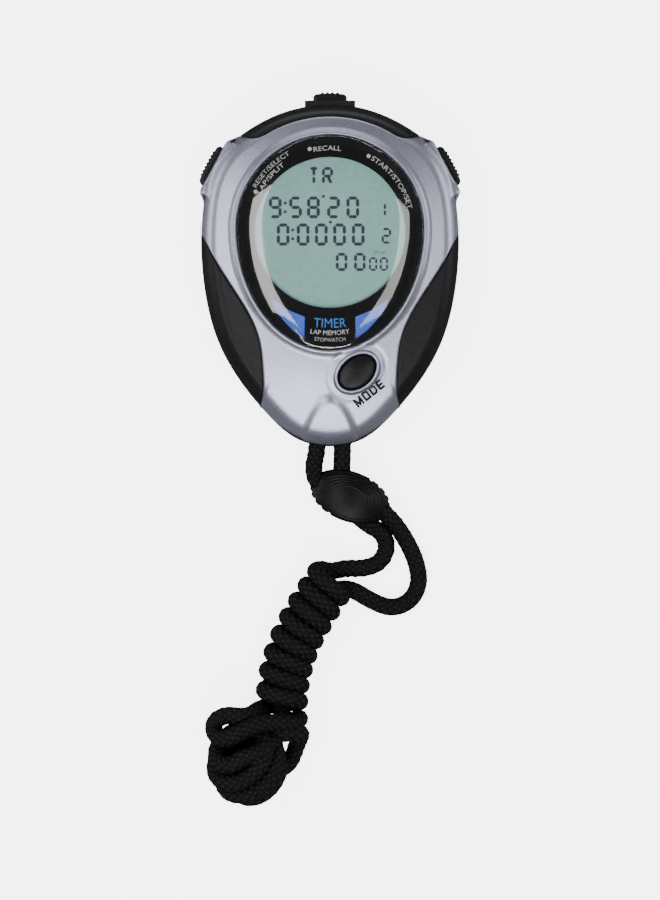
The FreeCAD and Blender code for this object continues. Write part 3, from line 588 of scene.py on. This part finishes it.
def lens_line(grow=0.0, steps=720):
    """The lens's outline: a half circle above, and a longer half oval below."""
    turn = whole_turn(steps)
    tall = np.where(np.sin(turn) > 0, LENS_RADIUS + grow, LENS_DROP + grow)
    return pairs((LENS_RADIUS + grow) * np.cos(turn), LENS_Y + tall * np.sin(turn))


def mode_line(grow, steps=96):
    """The mode button's tilted oval, larger by grow all round."""
    turn = whole_turn(steps)
    x, y = (MODE_AXES[0] + grow) * np.cos(turn), (MODE_AXES[1] + grow) * np.sin(turn)
    return turned(pairs(x, y), MODE_AT, MODE_TILT)


def distance_to(line, places, closed=True):
    """How far each place is from the line."""
    ends = np.roll(line, -1, axis=0) if closed else line[1:]
    starts = line if closed else line[:-1]
    run = ends - starts
    size = np.maximum((run * run).sum(1), 1e-9)
    best = np.full(len(places), np.inf)
    for start, along, square in zip(starts, run, size):
        off = places - start
        share = np.clip(off @ along / square, 0, 1)
        best = np.minimum(best, ((off - share[:, None] * along) ** 2).sum(1))
    return np.sqrt(best)


def polar_radius(line, angles):
    """The line's distance from the origin at each angle, for a line that goes once round it."""
    turn = np.mod(np.arctan2(line[:, 1], line[:, 0]), 2 * math.pi)
    order = np.argsort(turn)
    size = np.linalg.norm(line, axis=1)
    return np.interp(angles, turn[order], size[order], period=2 * math.pi)


def arc(x, y, top, steps=60):
    """From (x, y) over (0, top) to (-x, y)."""
    radius = (x * x + (top - y) ** 2) / (2 * (top - y))
    half = math.asin(x / radius)
    turns = np.linspace(half, -half, steps)
    return pairs(radius * np.sin(turns), top - radius + radius * np.cos(turns))


egg_line = through(EGG + mirrored(EGG[1:-1])[::-1], closed=True)


def edge_drop(depth, radius):
    """How far a rounded edge falls at this depth in from the outline."""
    over = np.clip(radius - depth, 0, radius)
    return radius - np.sqrt(radius**2 - over**2)


def crown(places):
    square = CROWN_RADIUS**2 - places[:, 0] ** 2 - (places[:, 1] - CROWN_Y) ** 2
    return CROWN_TOP - CROWN_RADIUS + np.sqrt(square)


def body_height(places):
    """The watch's domed front with its rounded outline."""
    return crown(places) - edge_drop(distance_to(egg_line, places), EDGE_ROUND)


# ---- the silver bezel ----

WAIST = [
    (32.6, 11.6), (27.7, 2.1), (22.6, -6.0), (18.9, -12.3), (16.9, -18.0), (16.2, -24.5),
    (16.6, -32.0), (18.6, -36.0),
]
SHOULDER = [
    (14.5, 33.0), (15.9, 32.2), (17.3, 31.7), (18.8, 31.6), (20.2, 31.9), (21.4, 32.3),
    (22.6, 31.9), (24.0, 31.3), (25.0, 30.8), (25.5, 30.1), (26.6, 28.0), (28.0, 25.4),
    (29.4, 22.7), (30.8, 20.2), (31.35, 19.2), (31.5, 18.3), (31.05, 17.4), (30.65, 16.2),
]
TOP_ARC = (14.5, 33.0, 36.8)
BUTTON_TURN = math.radians(28.0)
LUG_IN, LUG_OUT, LUG_HALF, LUG_TOP = 27.2, 31.9, 7.3, 15.5
LUG_FACET = 2.3             # width of the sloping facet along the lug's outer edge
LUG_SLOPE, LUG_BLEND = 0.42, 0.7
POCKET_HALF, POCKET_TOP, POCKET_FROM = 5.45, 13.1, 28.0
NOSE_ARCHES, NOSE_STEP = ((-29.9, 0.165), (-32.6, 0.27)), 0.75
BEZEL_LOW = 14.9            # where the wall round the lens ends
LIP_SHAPE = (
    (0.0, 0.12, 0.3, 0.55, 0.8, 1.0, 1.2, 1.5, 2.0),
    (0.05, 0.34, 0.5, 0.5, 0.42, 0.32, 0.22, 0.1, 0.0),
)
ANGLES = 480


def silver_line():
    """The silver region's outline, seen from above."""
    waist = through(WAIST)
    right = [*map(tuple, through(SHOULDER, per=8))]
    side = [tuple(p) for p in egg_line if 8.2 < p[1] < 15.6 and p[0] > 0]
    right += sorted(side, key=lambda p: -p[1])
    right += [tuple(p) for p in waist if -33.4 < p[1] < 8.0]
    nose = [tuple(p) for p in egg_line if p[1] < -33.6 and p[0] > 0]
    right += sorted(nose, key=lambda p: -p[0])
    return np.array([*arc(*TOP_ARC)[::-1], *right, *mirrored(right)[::-1]])


def button_frame(places, sign):
    """Distance out from the hub along a side button's direction, and across it."""
    x, y = sign * places[:, 0], places[:, 1] - HUB_Y
    out = x * math.cos(BUTTON_TURN) + y * math.sin(BUTTON_TURN)
    across = -x * math.sin(BUTTON_TURN) + y * math.cos(BUTTON_TURN)
    return out, across


def soft_max(a, b, blend):
    share = np.clip(0.5 + 0.5 * (a - b) / blend, 0, 1)
    return b * (1 - share) + a * share + blend * share * (1 - share)


def nose_arch(places):
    """The step over the cord's slot, with a sloping band between two arches."""
    x, y = np.abs(places[:, 0]), places[:, 1]
    outer, inner = (top - curve * x**2 for top, curve in NOSE_ARCHES)
    share = np.clip((outer - y) / (outer - inner), 0, 1)
    return NOSE_STEP * share * share * (3 - 2 * share)


def bezel_height(places):
    height = body_height(places)
    for sign in (1, -1):
        out, across = button_frame(places, sign)
        rim = np.minimum(LUG_OUT - out, LUG_HALF - np.abs(across))
        facet = np.clip(out - (LUG_OUT - LUG_FACET), 0, None)
        plateau = LUG_TOP - LUG_SLOPE * facet - edge_drop(np.clip(rim, 0, 9), 0.5)
        plateau = np.where(rim > 0, plateau, -20.0)
        plateau = np.where(out > LUG_IN, plateau, -20.0)
        height = np.where(plateau > -10, soft_max(height, plateau, LUG_BLEND), height)
    height += nose_arch(places)
    height += np.interp(distance_to(lens_line(), places), *LIP_SHAPE)
    inner = distance_to(mode_line(0.0), places)
    return height - 0.15 * np.exp(-((inner - 2.0) / 0.5) ** 2)


def bezel():
    """The silver moulding: a fine polar grid from the lens's outline to its own."""
    outline = silver_line()
    angles = whole_turn(ANGLES)
    inner = polar_radius(lens_line(), angles)
    outer = polar_radius(outline, angles) - 0.1
    starts = np.array([0, 0.1, 0.22, 0.36, 0.5, 0.65, 0.8, 0.95, 1.1, 1.25, 1.45, 1.7, 2.0])
    stops = np.array([0, 0.06, 0.15, 0.3, 0.5, 0.8, 1.15, 1.55, 2.0])[::-1]
    shares = np.linspace(0, 1, 42)[1:-1]
    radii = [inner + d for d in starts]
    radii += [inner + starts[-1] + (outer - stops[0] - inner - starts[-1]) * s for s in shares]
    radii += [outer - d for d in stops]
    radii = np.array(radii)
    x, y = radii * np.cos(angles), radii * np.sin(angles)
    places = pairs(x.ravel(), y.ravel())
    z = bezel_height(places) - edge_drop(distance_to(outline, places), 0.45)
    z = z.reshape(radii.shape)
    wall = at_height(pairs(x[0], y[0]), BEZEL_LOW)
    low = np.full(ANGLES, SKIN_BOTTOM)
    rim_places = pairs(x[-1], y[-1])
    for sign in (1, -1):
        out, across = button_frame(rim_places, sign)
        low = np.where((out > POCKET_FROM) & (np.abs(across) < POCKET_HALF), POCKET_TOP, low)
    hem = at_height(rim_places, low)
    rings = [wall, *np.stack([x, y, z], axis=2), hem]
    return grid_object("bezel", rings, hole=0.1)


def grid_object(name, rings, hole=None, closed=True, body=WATCH, sharp=38.0, ends=()):
    """Rings of points joined into quads.

    With hole, the quads inside the mode button's oval, grown by that much, are left out.
    The rings whose numbers are in ends, 0 or -1, are closed with one face each.
    """
    points = np.concatenate(rings)
    size, count = len(rings[0]), len(rings)
    inside = np.zeros(len(points), bool)
    if hole is not None:
        u, v = turned(points[:, :2] - MODE_AT, (0.0, 0.0), -MODE_TILT).T
        inside = (u / (MODE_AXES[0] + hole)) ** 2 + (v / (MODE_AXES[1] + hole)) ** 2 < 1
    faces = []
    for ring in range(count - 1):
        for k in range(size if closed else size - 1):
            after = (k + 1) % size
            face = (
                ring * size + k, (ring + 1) * size + k,
                (ring + 1) * size + after, ring * size + after,
            )
            if not any(inside[i] for i in face):
                faces.append(face)
    for end in ends:
        first = (count - 1) * size if end else 0
        faces.append(tuple(range(first, first + size)))
    used = sorted({i for face in faces for i in face})
    number = {old: new for new, old in enumerate(used)}
    faces = [tuple(number[i] for i in face) for face in faces]
    thing = mesh_object(name, points[used], faces, body)
    face_outwards(thing.data)
    thing.data.set_sharp_from_angle(angle=math.radians(sharp))
    return thing


def face_outwards(mesh):
    work = bmesh.new()
    work.from_mesh(mesh)
    bmesh.ops.recalc_face_normals(work, faces=work.faces)
    work.to_mesh(mesh)
    work.free()


def swept_rim(name, outline, shape, base):
    """A ring whose cross-section is given as (outwards, up) pairs round a closed outline."""
    ahead = np.roll(outline, -1, axis=0) - np.roll(outline, 1, axis=0)
    ahead /= np.linalg.norm(ahead, axis=1)[:, None]
    outwards = np.stack([ahead[:, 1], -ahead[:, 0]], axis=1)
    rings = []
    for out, up in shape:
        flat = outline + outwards * out
        rings.append(at_height(flat, base + up))
    return grid_object(name, rings)


MODE_RIM = [
    (1.05, -0.22), (0.85, 0.05), (0.7, 0.36), (0.55, 0.66), (0.36, 0.86), (0.12, 0.9),
    (-0.08, 0.8), (-0.2, 0.55), (-0.25, 0.1), (-0.25, -3.5),
]
MODE_SHRINK = -0.45          # the button's cap, against the outline of its rim
silver_front = paint(bezel(), silver)
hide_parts("front_bezel")
mode_base = mode_line(0.0)
mode_rim = swept_rim("mode_rim", mode_base, MODE_RIM, body_height(mode_base))
paint(mode_rim, silver)

MODE_PRESS_TOP, MODE_DOME = 17.55, 0.45
MODE_EDGE = [(1.0, 4.0), (1.0, 0.75), (0.985, 0.45), (0.95, 0.2), (0.9, 0.08), (0.82, 0.0)]


def mode_cap():
    """The mode button: a slightly domed oval with a rounded edge."""
    rim = mode_line(MODE_SHRINK)
    flat_top = MODE_PRESS_TOP - MODE_DOME
    rings = []
    for share, drop in MODE_EDGE:
        rings.append(at_height(MODE_AT + (rim - MODE_AT) * share, flat_top - drop))
    for share in np.linspace(0.75, 0.02, 12):
        lift = MODE_DOME * (1 - (share / MODE_EDGE[-1][0]) ** 2)
        rings.append(at_height(MODE_AT + (rim - MODE_AT) * share, flat_top + lift))
    return grid_object("mode_cap", rings, body="mode_key", ends=(-1,))


mode_cap = paint(mode_cap(), button_black)
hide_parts("mode_button")

# ---- crown button caps ----

# Direction in degrees, distance from the hub to the outer face, width, number of ridges.
CROWN_KEYS = {
    "start_stop": (28.0, 33.9, 10.3, 8),
    "lap_reset": (152.0, 33.9, 10.3, 8),
    "recall": (90.0, 33.0, 8.2, 5),
}
KEY_Z, KEY_TALL, KEY_THICK = 9.7, 6.2, 3.3
KEY_CORNER = 1.1
KEY_EDGE, KEY_END = 0.7, 1.6    # rounding of the long edges, and how far in the last ring lies
RIDGE_DEEP, RIDGED_SHARE = 0.34, 0.82
FACE_BOW = 0.22


def key_outline(outer, width, ridges):
    """A cap seen from above: (out, across) points round a bar with a ridged outer face."""
    half, corner = width / 2, KEY_CORNER
    across = np.linspace(half - corner, corner - half, 120)
    ripple = 0.5 + 0.5 * np.cos(2 * math.pi * ridges * (across / (2 * (half - corner)) + 0.5))
    ripple = np.where(np.abs(across) < RIDGED_SHARE * (half - corner), ripple, 0.0)
    valley = outer - RIDGE_DEEP
    face = valley - FACE_BOW * (across / half) ** 2 + RIDGE_DEEP * ripple
    points = list(zip(face, across))
    turn = np.linspace(0, math.pi / 2, 8)
    middle = valley - FACE_BOW * ((half - corner) / half) ** 2 - corner
    low = [(middle + corner * math.cos(t), corner - half - corner * math.sin(t)) for t in turn]
    high = [(x, -y) for x, y in reversed(low)]
    inner = outer - KEY_THICK
    back = [(inner, y) for y in np.linspace(-half, half, 12)]
    return np.array(points + low[1:] + back + high[:-1])


def key_cap(name):
    """A crown button's cap with rounded upper and lower edges, closed all round."""
    angle, outer, width, ridges = CROWN_KEYS[name]
    outline = key_outline(outer, width, ridges)
    middle = np.array([outer - KEY_THICK / 2, 0.0])
    sizes = np.array([KEY_THICK / 2, width / 2])
    half = KEY_TALL / 2
    profile = [
        (KEY_EDGE * (1 - math.cos(t)), half - KEY_EDGE + KEY_EDGE * math.sin(t))
        for t in np.linspace(0, math.pi / 2, 6)
    ]
    profile += [(inset, half + 0.12 * (inset - KEY_EDGE)) for inset in (0.85, 1.0)]
    levels = [(inset, -z) for inset, z in reversed(profile)] + profile
    rings = []
    for inset, z in [(KEY_END, -half), *levels, (KEY_END, half)]:
        flat = turned(middle + (outline - middle) * (1 - inset / sizes), (0.0, HUB_Y), angle)
        rings.append(at_height(flat, KEY_Z + z))
    return grid_object(f"{name}_key_cap", rings, body=f"{name}_key", ends=(0, -1))


for key in CROWN_KEYS:
    cap = paint(key_cap(key), button_black)
    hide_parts(f"{key}_button")

# ---- the slider's ridged cap ----

SLIDER_AT = (4.9, -55.0)
SLIDER_AXES = (10.1, 6.1)
SLIDER_TILT = -20.0
SLIDER_TALL, SLIDER_DOME = 9.4, 14.0
CAP_SHARE = 0.84            # how much of the bead's top the cap covers
CAP_PROUD = 0.14
CAP_RIDGE, CAP_RIDGES, CAP_RIDGE_SIDE = 0.16, 8.5, 75.0  # height, number, and direction faced


def slider_cap():
    """A thin domed cap on the bead with fine ridges along its upper right side."""
    turn = whole_turn(144)
    tops = []
    for share in [1.0, 0.995, *np.linspace(0.985, 0.03, 66)]:
        x = SLIDER_AXES[0] * CAP_SHARE * share * np.cos(turn)
        y = SLIDER_AXES[1] * CAP_SHARE * share * np.sin(turn)
        dome = SLIDER_TALL - SLIDER_DOME + np.sqrt(SLIDER_DOME**2 - x**2 - y**2)
        side = np.clip(np.cos(turn - math.radians(CAP_RIDGE_SIDE)), 0, 1)
        band = np.clip((share - 0.38) / 0.15, 0, 1) * np.clip((1.0 - share) / 0.05, 0, 1)
        ridges = CAP_RIDGE * side * band * np.cos(2 * math.pi * share * CAP_RIDGES)
        lift = CAP_PROUD * np.clip((1.0 - share) / 0.02, 0, 1)
        tops.append(np.stack([x, y, dome + lift + ridges], axis=1))
    hem = tops[0] - (0, 0, 0.3)
    rings = [at_height(turned(ring, SLIDER_AT, SLIDER_TILT), ring[:, 2]) for ring in [hem, *tops]]
    return grid_object("slider_cap", rings, body="slider", sharp=60, ends=(-1,))


paint(slider_cap(), slider_black)

# ---- grips ----

GRIP_TOP, GRIP_LOW = 11.5, -36.5
PANEL_EDGE = (3.0, 4.4)     # the textured panel's edge, measured in from the outline


def grip(name, sign):
    """A side pad: a smooth rounded rim outside, and a slightly sunk panel inside."""
    outline = silver_line()
    angles = np.linspace(math.atan2(GRIP_TOP, 31.0), math.atan2(GRIP_LOW, 17.0), 260)
    inner = polar_radius(outline, np.mod(angles, 2 * math.pi)) + 0.12
    outer = polar_radius(egg_line, np.mod(angles, 2 * math.pi)) + 0.01
    shares = np.concatenate([np.linspace(0, 0.8, 36), np.linspace(0.8, 1, 26)[1:]])
    radii = inner + np.maximum(outer - inner, 0.02) * shares[:, None]
    x, y = radii * np.cos(angles), radii * np.sin(angles)
    places = pairs(x.ravel(), y.ravel())
    depth = distance_to(egg_line, places)
    top = body_height(places) - 0.22 * np.interp(depth, PANEL_EDGE, (0.0, 1.0))
    near = np.minimum(distance_to(outline, places), 9.0)
    top = (top - edge_drop(near, 0.4)).reshape(x.shape)
    start = np.stack([x[0], y[0], top[0] - 0.8], axis=1)
    hem = np.stack([x[-1], y[-1], np.full(len(angles), SKIN_BOTTOM)], axis=1)
    rings = [start, *np.stack([x, y, top], axis=2), hem]
    rings = [ring * (sign, 1, 1) for ring in rings]
    return grid_object(name, rings, closed=False)


for side, sign in (("left", -1), ("right", 1)):
    pad = paint(grip(f"{side}_grip_pad", sign), grip_black)
    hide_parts(f"{side}_grip")

# ---- lens ----

LENS_TOP, LENS_DOME, LENS_DOME_Y, LENS_WALL = 22.0, 110.0, 6.0, 1.8
LENS_INNER, LENS_FOOT = 0.93, 15.0
SHOULDER_WIDE, SHOULDER_DROP = 6.0, 0.8
LENS_SHARES = [1.0, 0.995, 0.985, 0.97, 0.95, *np.linspace(0.93, 0.02, 46)]


def lens_height(places, edge):
    square = LENS_DOME**2 - places[:, 0] ** 2 - (places[:, 1] - LENS_DOME_Y) ** 2
    inside = np.clip(1 - edge / SHOULDER_WIDE, 0, 1)
    rolled = edge_drop(edge, 0.35)
    sideways = np.clip((np.abs(places[:, 0]) - 3.0) / 9.0, 0, 1)
    shoulder = SHOULDER_DROP * inside**2 * sideways * sideways * (3 - 2 * sideways)
    return LENS_TOP - LENS_DOME + np.sqrt(square) - shoulder - rolled


def lens():
    """The clear cap: its outer face with a rolled edge, and its inner faces."""
    edge_line = lens_line(-0.12, 360)
    centre = np.array([0.0, LENS_DOME_Y])
    outer, inner = [], []
    for share in LENS_SHARES:
        flat = centre + (edge_line - centre) * share
        edge = distance_to(edge_line, flat)
        high = lens_height(flat, edge)
        outer.append(at_height(flat, high))
        low = centre + (edge_line - centre) * (share * LENS_INNER)
        inner.append(at_height(low, high - LENS_WALL))
    foot_out, foot_in = (at_height(rings[0], LENS_FOOT) for rings in (outer, inner))
    shell = grid_object("lens_shell", [foot_in, foot_out, *outer], sharp=60, ends=(-1,))
    cavity = grid_object("lens_cavity", [foot_in, *inner], sharp=60, ends=(-1,))
    return shell, cavity


clear_inside = Nodes("clear_inside")
clear_inside = clear_inside.finish(clear_inside.add("ShaderNodeBsdfTransparent").outputs[0])
lens_shell, lens_cavity = lens()
paint(lens_shell, clear_lens)
paint(lens_cavity, clear_inside)
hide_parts("lens")

# ---- printed labels and the display's segments ----


def letters(text, tall, bold=0.0):
    """The text as flat triangles, standing on y = 0 and starting at x = 0."""
    data = bpy.data.curves.new("letters", "FONT")
    data.body = text
    data.resolution_u = 4
    data.offset = bold
    thing = bpy.data.objects.new("letters", data)
    bpy.context.scene.collection.objects.link(thing)
    mesh = thing.to_mesh()
    points = np.array([v.co[:2] for v in mesh.vertices])
    faces = [tuple(p.vertices) for p in mesh.polygons]
    thing.to_mesh_clear()
    bpy.data.objects.remove(thing)
    points[:, 0] -= points[:, 0].min()
    return points * tall / points[:, 1].max(), faces


def printed(name, points, faces, heights, material, thick=0.03):
    """Thin solid print: the faces once at heights, and once more below, joined at the rim."""
    count = len(points)
    high, low = at_height(points, heights), at_height(points, heights - thick)
    edges = {}
    for face in faces:
        for a, b in zip(face, face[1:] + face[:1]):
            edges[(a, b)] = True
    rim = [(a, b) for a, b in edges if (b, a) not in edges]
    body = faces + [tuple(i + count for i in reversed(face)) for face in faces]
    body += [(b, a, a + count, b + count) for a, b in rim]
    return paint(mesh_object(name, np.vstack([high, low]), body, smooth=False), material)


def stretched(points, wide):
    return points * (wide / points[:, 0].max(), 1.0)


def bent(points, centre, radius, start, inwards=False):
    """The line of text laid round a circle, from the angle start on."""
    turn = math.radians(start)
    if inwards:
        angles, reach = turn + points[:, 0] / radius, radius - points[:, 1]
    else:
        angles, reach = turn - points[:, 0] / radius, radius + points[:, 1]
    return pairs(centre[0] + reach * np.cos(angles), centre[1] + reach * np.sin(angles))


def dot(x, y, radius, steps=20):
    """A filled circle as one face."""
    turn = whole_turn(steps)
    edge = pairs(x + radius * np.cos(turn), y + radius * np.sin(turn))
    return edge, [tuple(range(steps))]


MASK_FACE, LCD_FACE = 14.68, 13.93
print_white = plastic("print_white", (0.42, 0.42, 0.42), 0.5)
print_blue = plastic("print_blue", (0.03, 0.10, 0.55), 0.4)
word_blue = plastic("word_blue", (0.02, 0.16, 0.50), 0.4)
print_black = plastic("print_black", (0.002, 0.002, 0.003), 0.6, Specular_IOR_Level=0.1)
segment_ink = plastic("segment_ink", (0.004, 0.008, 0.025), 0.6)
LABEL_CENTRE = (0.0, LENS_Y)
# Name, text, height, width, radius of its baseline, and the angle it starts at.
RING_LABELS = [
    ("recall", "RECALL", 1.15, 6.5, 19.0, 101.7),
    ("start_stop_set", "START/STOP/SET", 1.15, 15.3, 19.4, 59.5),
    ("reset_select", "RESET/SELECT", 1.1, 11.5, 20.3, 150.8),
    ("lap_split", "LAP/SPLIT", 1.1, 9.0, 18.7, 153.2),
]
for name, text, tall, wide, radius, start in RING_LABELS:
    points, faces = letters(text, tall)
    points = bent(stretched(points, wide), LABEL_CENTRE, radius, start)
    printed(f"label_{name}", points, faces, MASK_FACE, print_white)
for number, (x, y) in enumerate([(-4.9, 28.9), (9.3, 27.2), (-17.9, 18.6)]):
    points, faces = dot(x, y, 0.5)
    printed(f"label_dot_{number}", points, faces, MASK_FACE, print_white)
# Name, text, height, width, radius, the arc's lowest point, and the ink.
BOTTOM_LABELS = [
    ("word", "TIMER", 2.2, 8.0, 40.0, -14.2, word_blue),
    ("memory", "LAP MEMORY", 1.15, 9.6, 27.0, -16.0, print_white),
    ("kind", "STOPWATCH", 0.95, 7.6, 27.0, -17.6, print_white),
]
for name, text, tall, wide, radius, low, ink in BOTTOM_LABELS:
    points, faces = letters(text, tall)
    middle = -90.0 - math.degrees(wide / 2 / radius)
    points = bent(stretched(points, wide), (0.0, low + radius), radius, middle, inwards=True)
    printed(f"label_{name}", points, faces, MASK_FACE, ink)
BLUE_PANEL = [
    (6.1, -11.6), (10.1, -9.9), (14.2, -7.2), (13.2, -9.6), (11.4, -12.2), (9.0, -14.8),
    (6.2, -16.9),
]
for name, sign in (("left", -1), ("right", 1)):
    points = np.array(BLUE_PANEL) * (sign, 1)
    order = tuple(range(len(points)))
    face = order if sign < 0 else order[::-1]
    printed(f"blue_panel_{name}", points, [face], MASK_FACE, print_blue)
# The word under the mode button, as strokes on a grid one letter high.
LETTER_STROKES = {
    "M": [((0, 0), (0, 1)), ((0, 1), (0.42, 0.1)), ((0.42, 0.1), (0.84, 1)), ((0.84, 1), (0.84, 0))],
    "O": [((0, 0), (0, 1)), ((0, 1), (0.68, 1)), ((0.68, 1), (0.68, 0)), ((0.68, 0), (0, 0))],
    "D": [((0, 0), (0, 1)), ((0, 1), (0.5, 1)), ((0.5, 1), (0.7, 0.75)), ((0.7, 0.75), (0.7, 0.25)),
          ((0.7, 0.25), (0.5, 0)), ((0.5, 0), (0, 0))],
    "E": [((0, 0), (0, 1)), ((0, 1), (0.6, 1)), ((0, 0.5), (0.52, 0.5)), ((0, 0), (0.6, 0))],
}
WORD_TALL, WORD_STROKE = 1.8, 0.50
WORD_STEPS = {"M": 2.45, "O": 2.15, "D": 2.15, "E": 1.6}
WORD_AT, WORD_TILT = (6.9, -33.2), 38.6
WORD_PROUD, WORD_STAGGER = 0.06, 0.004  # strokes cross, so each lies a little higher


def faces_of(strokes):
    """One face for each stroke, numbered as if all their points were in one list."""
    stops = np.cumsum([len(stroke) for stroke in strokes]).tolist()
    return [tuple(range(stop - len(stroke), stop)) for stop, stroke in zip(stops, strokes)]


def square_stroke(a, b, thick):
    """A straight stroke from a to b with square ends, as one face."""
    a, b = np.array(a, float), np.array(b, float)
    along = (b - a) / np.linalg.norm(b - a) * thick / 2
    side = np.array([-along[1], along[0]])
    return [a - along - side, b + along - side, b + along + side, a - along + side]


def word_label(name, word):
    """The word in strokes along a tilted line, as one piece."""
    start, strokes, heights = 0.0, [], []
    for letter in word:
        for a, b in LETTER_STROKES[letter]:
            stroke = square_stroke(np.array(a) * WORD_TALL, np.array(b) * WORD_TALL, WORD_STROKE)
            stroke = turned(np.array(stroke) + (start, 0.0), WORD_AT, WORD_TILT)
            strokes.append(stroke)
            heights.append(bezel_height(stroke) + WORD_PROUD + WORD_STAGGER * len(strokes))
        start += WORD_STEPS[letter]
    points, faces = np.vstack(strokes), faces_of(strokes)
    printed(name, points, faces, np.hstack(heights), print_black, 0.2)


word_label("label_mode", "MODE")

# Each digit's lit segments, in the usual order: top, upper right, lower right, bottom,
# lower left, upper left, middle.
DIGITS = {
    "0": "abcdef", "1": "bc", "2": "abged", "5": "afgcd", "8": "abcdefg", "9": "abcdfg",
    "T": "atu", "R": "afegbr",
}


def bar(a, b, thick):
    """A segment from a to b with pointed ends."""
    a, b = np.array(a, float), np.array(b, float)
    along = (b - a) / np.linalg.norm(b - a)
    side = np.array([-along[1], along[0]]) * thick / 2
    a, b = a + along * 0.08, b - along * 0.08
    tip = along * thick / 2
    return [a, a + tip - side, b - tip - side, b, b - tip + side, a + tip + side]


def digit_bars(mark, x, y, wide, tall, thick):
    """The lit segments of one digit whose middle is at (x, y)."""
    left, right = x - wide / 2 + thick / 2, x + wide / 2 - thick / 2
    low, high = y - tall / 2 + thick / 2, y + tall / 2 - thick / 2
    ends = {
        "a": ((left, high), (right, high)), "b": ((right, y), (right, high)),
        "c": ((right, low), (right, y)), "d": ((left, low), (right, low)),
        "e": ((left, low), (left, y)), "f": ((left, y), (left, high)),
        "g": ((left, y), (right, y)), "t": ((x, y), (x, high)), "u": ((x, low), (x, y)),
        "r": ((x, y), (right, low)),
    }
    return [bar(*ends[segment], thick) for segment in DIGITS[mark]]


def small_dot(x, y, half=0.33):
    """A square dot, as in a colon."""
    return [(x + dx * half, y + dy * half) for dx, dy in ((-1, -1), (1, -1), (1, 1), (-1, 1))]


# Text, the digits' middles, height of the row's middle, width, height and stroke.
ROWS = [
    ("TR", (-3.9, -0.6), 22.4, 2.7, 4.4, 0.72),
    ("95820", (-13.2, -8.3, -4.0, 0.85, 5.5), 14.85, 3.1, 5.3, 0.80),
    ("1", (12.4,), 14.3, 2.2, 3.6, 0.55),
    ("00000", (-11.3, -6.5, -2.1, 2.3, 6.8), 8.3, 3.1, 5.4, 0.80),
    ("2", (13.6,), 8.0, 2.3, 3.8, 0.55),
    ("00", (2.8, 7.2), 1.7, 2.8, 4.4, 0.72),
    ("00", (10.4, 13.0), 1.2, 2.0, 3.3, 0.50),
]
strokes = []
for text, middles, y, wide, tall, thick in ROWS:
    for mark, x in zip(text, middles):
        strokes += digit_bars(mark, x, y, wide, tall, thick)
for x, y in ((-10.8, 15.9), (-10.8, 13.8), (-9.0, 9.4), (-9.0, 7.3), (-1.6, 17.5), (0.1, 11.3)):
    strokes.append(small_dot(x, y))
points = np.array([point for stroke in strokes for point in stroke])
faces = faces_of(strokes)
printed("display_segments", points, faces, LCD_FACE, segment_ink)
points, faces = letters("STOP", 0.75)
points = stretched(points, 2.9) + (10.5, 3.55)
printed("display_stop", points, faces, LCD_FACE, segment_ink)

# ---- floor and light ----

FLOOR_HALF = 1.5
FLOOR_GAP = 0.0006          # below the watch, so that their faces don't coincide
FLOOR_GLOW = 4.5
WORLD_LIGHT = 0.07
# Name, place in metres, what it faces, size round the watch and towards it, and watts.
LIGHTS = [
    ("left_softbox", (-0.49, -0.05, 1.0), (0.0, 0.0, 0.0), (0.95, 0.32), 8.0),
    ("right_softbox", (0.46, -0.10, 1.0), (0.0, 0.0, 0.0), (0.85, 0.26), 4.0),
    ("low_softbox", (-0.05, -0.80, 1.0), (0.0, -0.02, 0.0), (0.8, 0.30), 11.0),
    ("back_softbox", (0.0, 1.05, 0.5), (0.0, 0.0, 0.0), (1.2, 0.35), 4.5),
    ("left_strip", (-1.0, 0.2, 0.25), (0.0, 0.0, 0.0), (0.9, 0.3), 5.0),
    ("right_strip", (1.0, 0.2, 0.25), (0.0, 0.0, 0.0), (0.9, 0.3), 5.0),
]


def make_floor():
    """A pale glowing floor that mirrors on the watch don't see."""
    mesh = bpy.data.meshes.new("floor")
    half = FLOOR_HALF
    corners = [(-half, -half, 0), (half, -half, 0), (half, half, 0), (-half, half, 0)]
    mesh.from_pydata(corners, [], [(0, 1, 2, 3)])
    floor = bpy.data.objects.new("floor", mesh)
    bpy.context.scene.collection.objects.link(floor)
    floor.location.z = -FLOOR_GAP
    floor.visible_glossy = False
    mesh.materials.append(plastic(
        "floor", (0.9, 0.9, 0.9), 0.95, 0.01,
        Emission_Color=(1.0, 1.0, 1.0, 1.0), Emission_Strength=FLOOR_GLOW,
    ))


def softbox(name, place, aim, size, power):
    """An area light at place, in metres, facing aim."""
    data = bpy.data.lights.new(name, "AREA")
    data.shape = "RECTANGLE"
    data.size, data.size_y = size
    data.energy = power
    light = bpy.data.objects.new(name, data)
    bpy.context.scene.collection.objects.link(light)
    light.location = place
    away = np.array(place) - np.array(aim)
    flat = math.hypot(away[0], away[1])
    light.rotation_euler = (math.atan2(flat, away[2]), 0.0, math.atan2(away[0], -away[1]))


def make_world():
    world = bpy.data.worlds.new("studio")
    world.use_nodes = True
    background = world.node_tree.nodes["Background"]
    background.inputs["Color"].default_value = (1.0, 1.0, 1.0, 1.0)
    background.inputs["Strength"].default_value = WORLD_LIGHT
    bpy.context.scene.world = world


make_floor()
make_world()
for light in LIGHTS:
    softbox(*light)
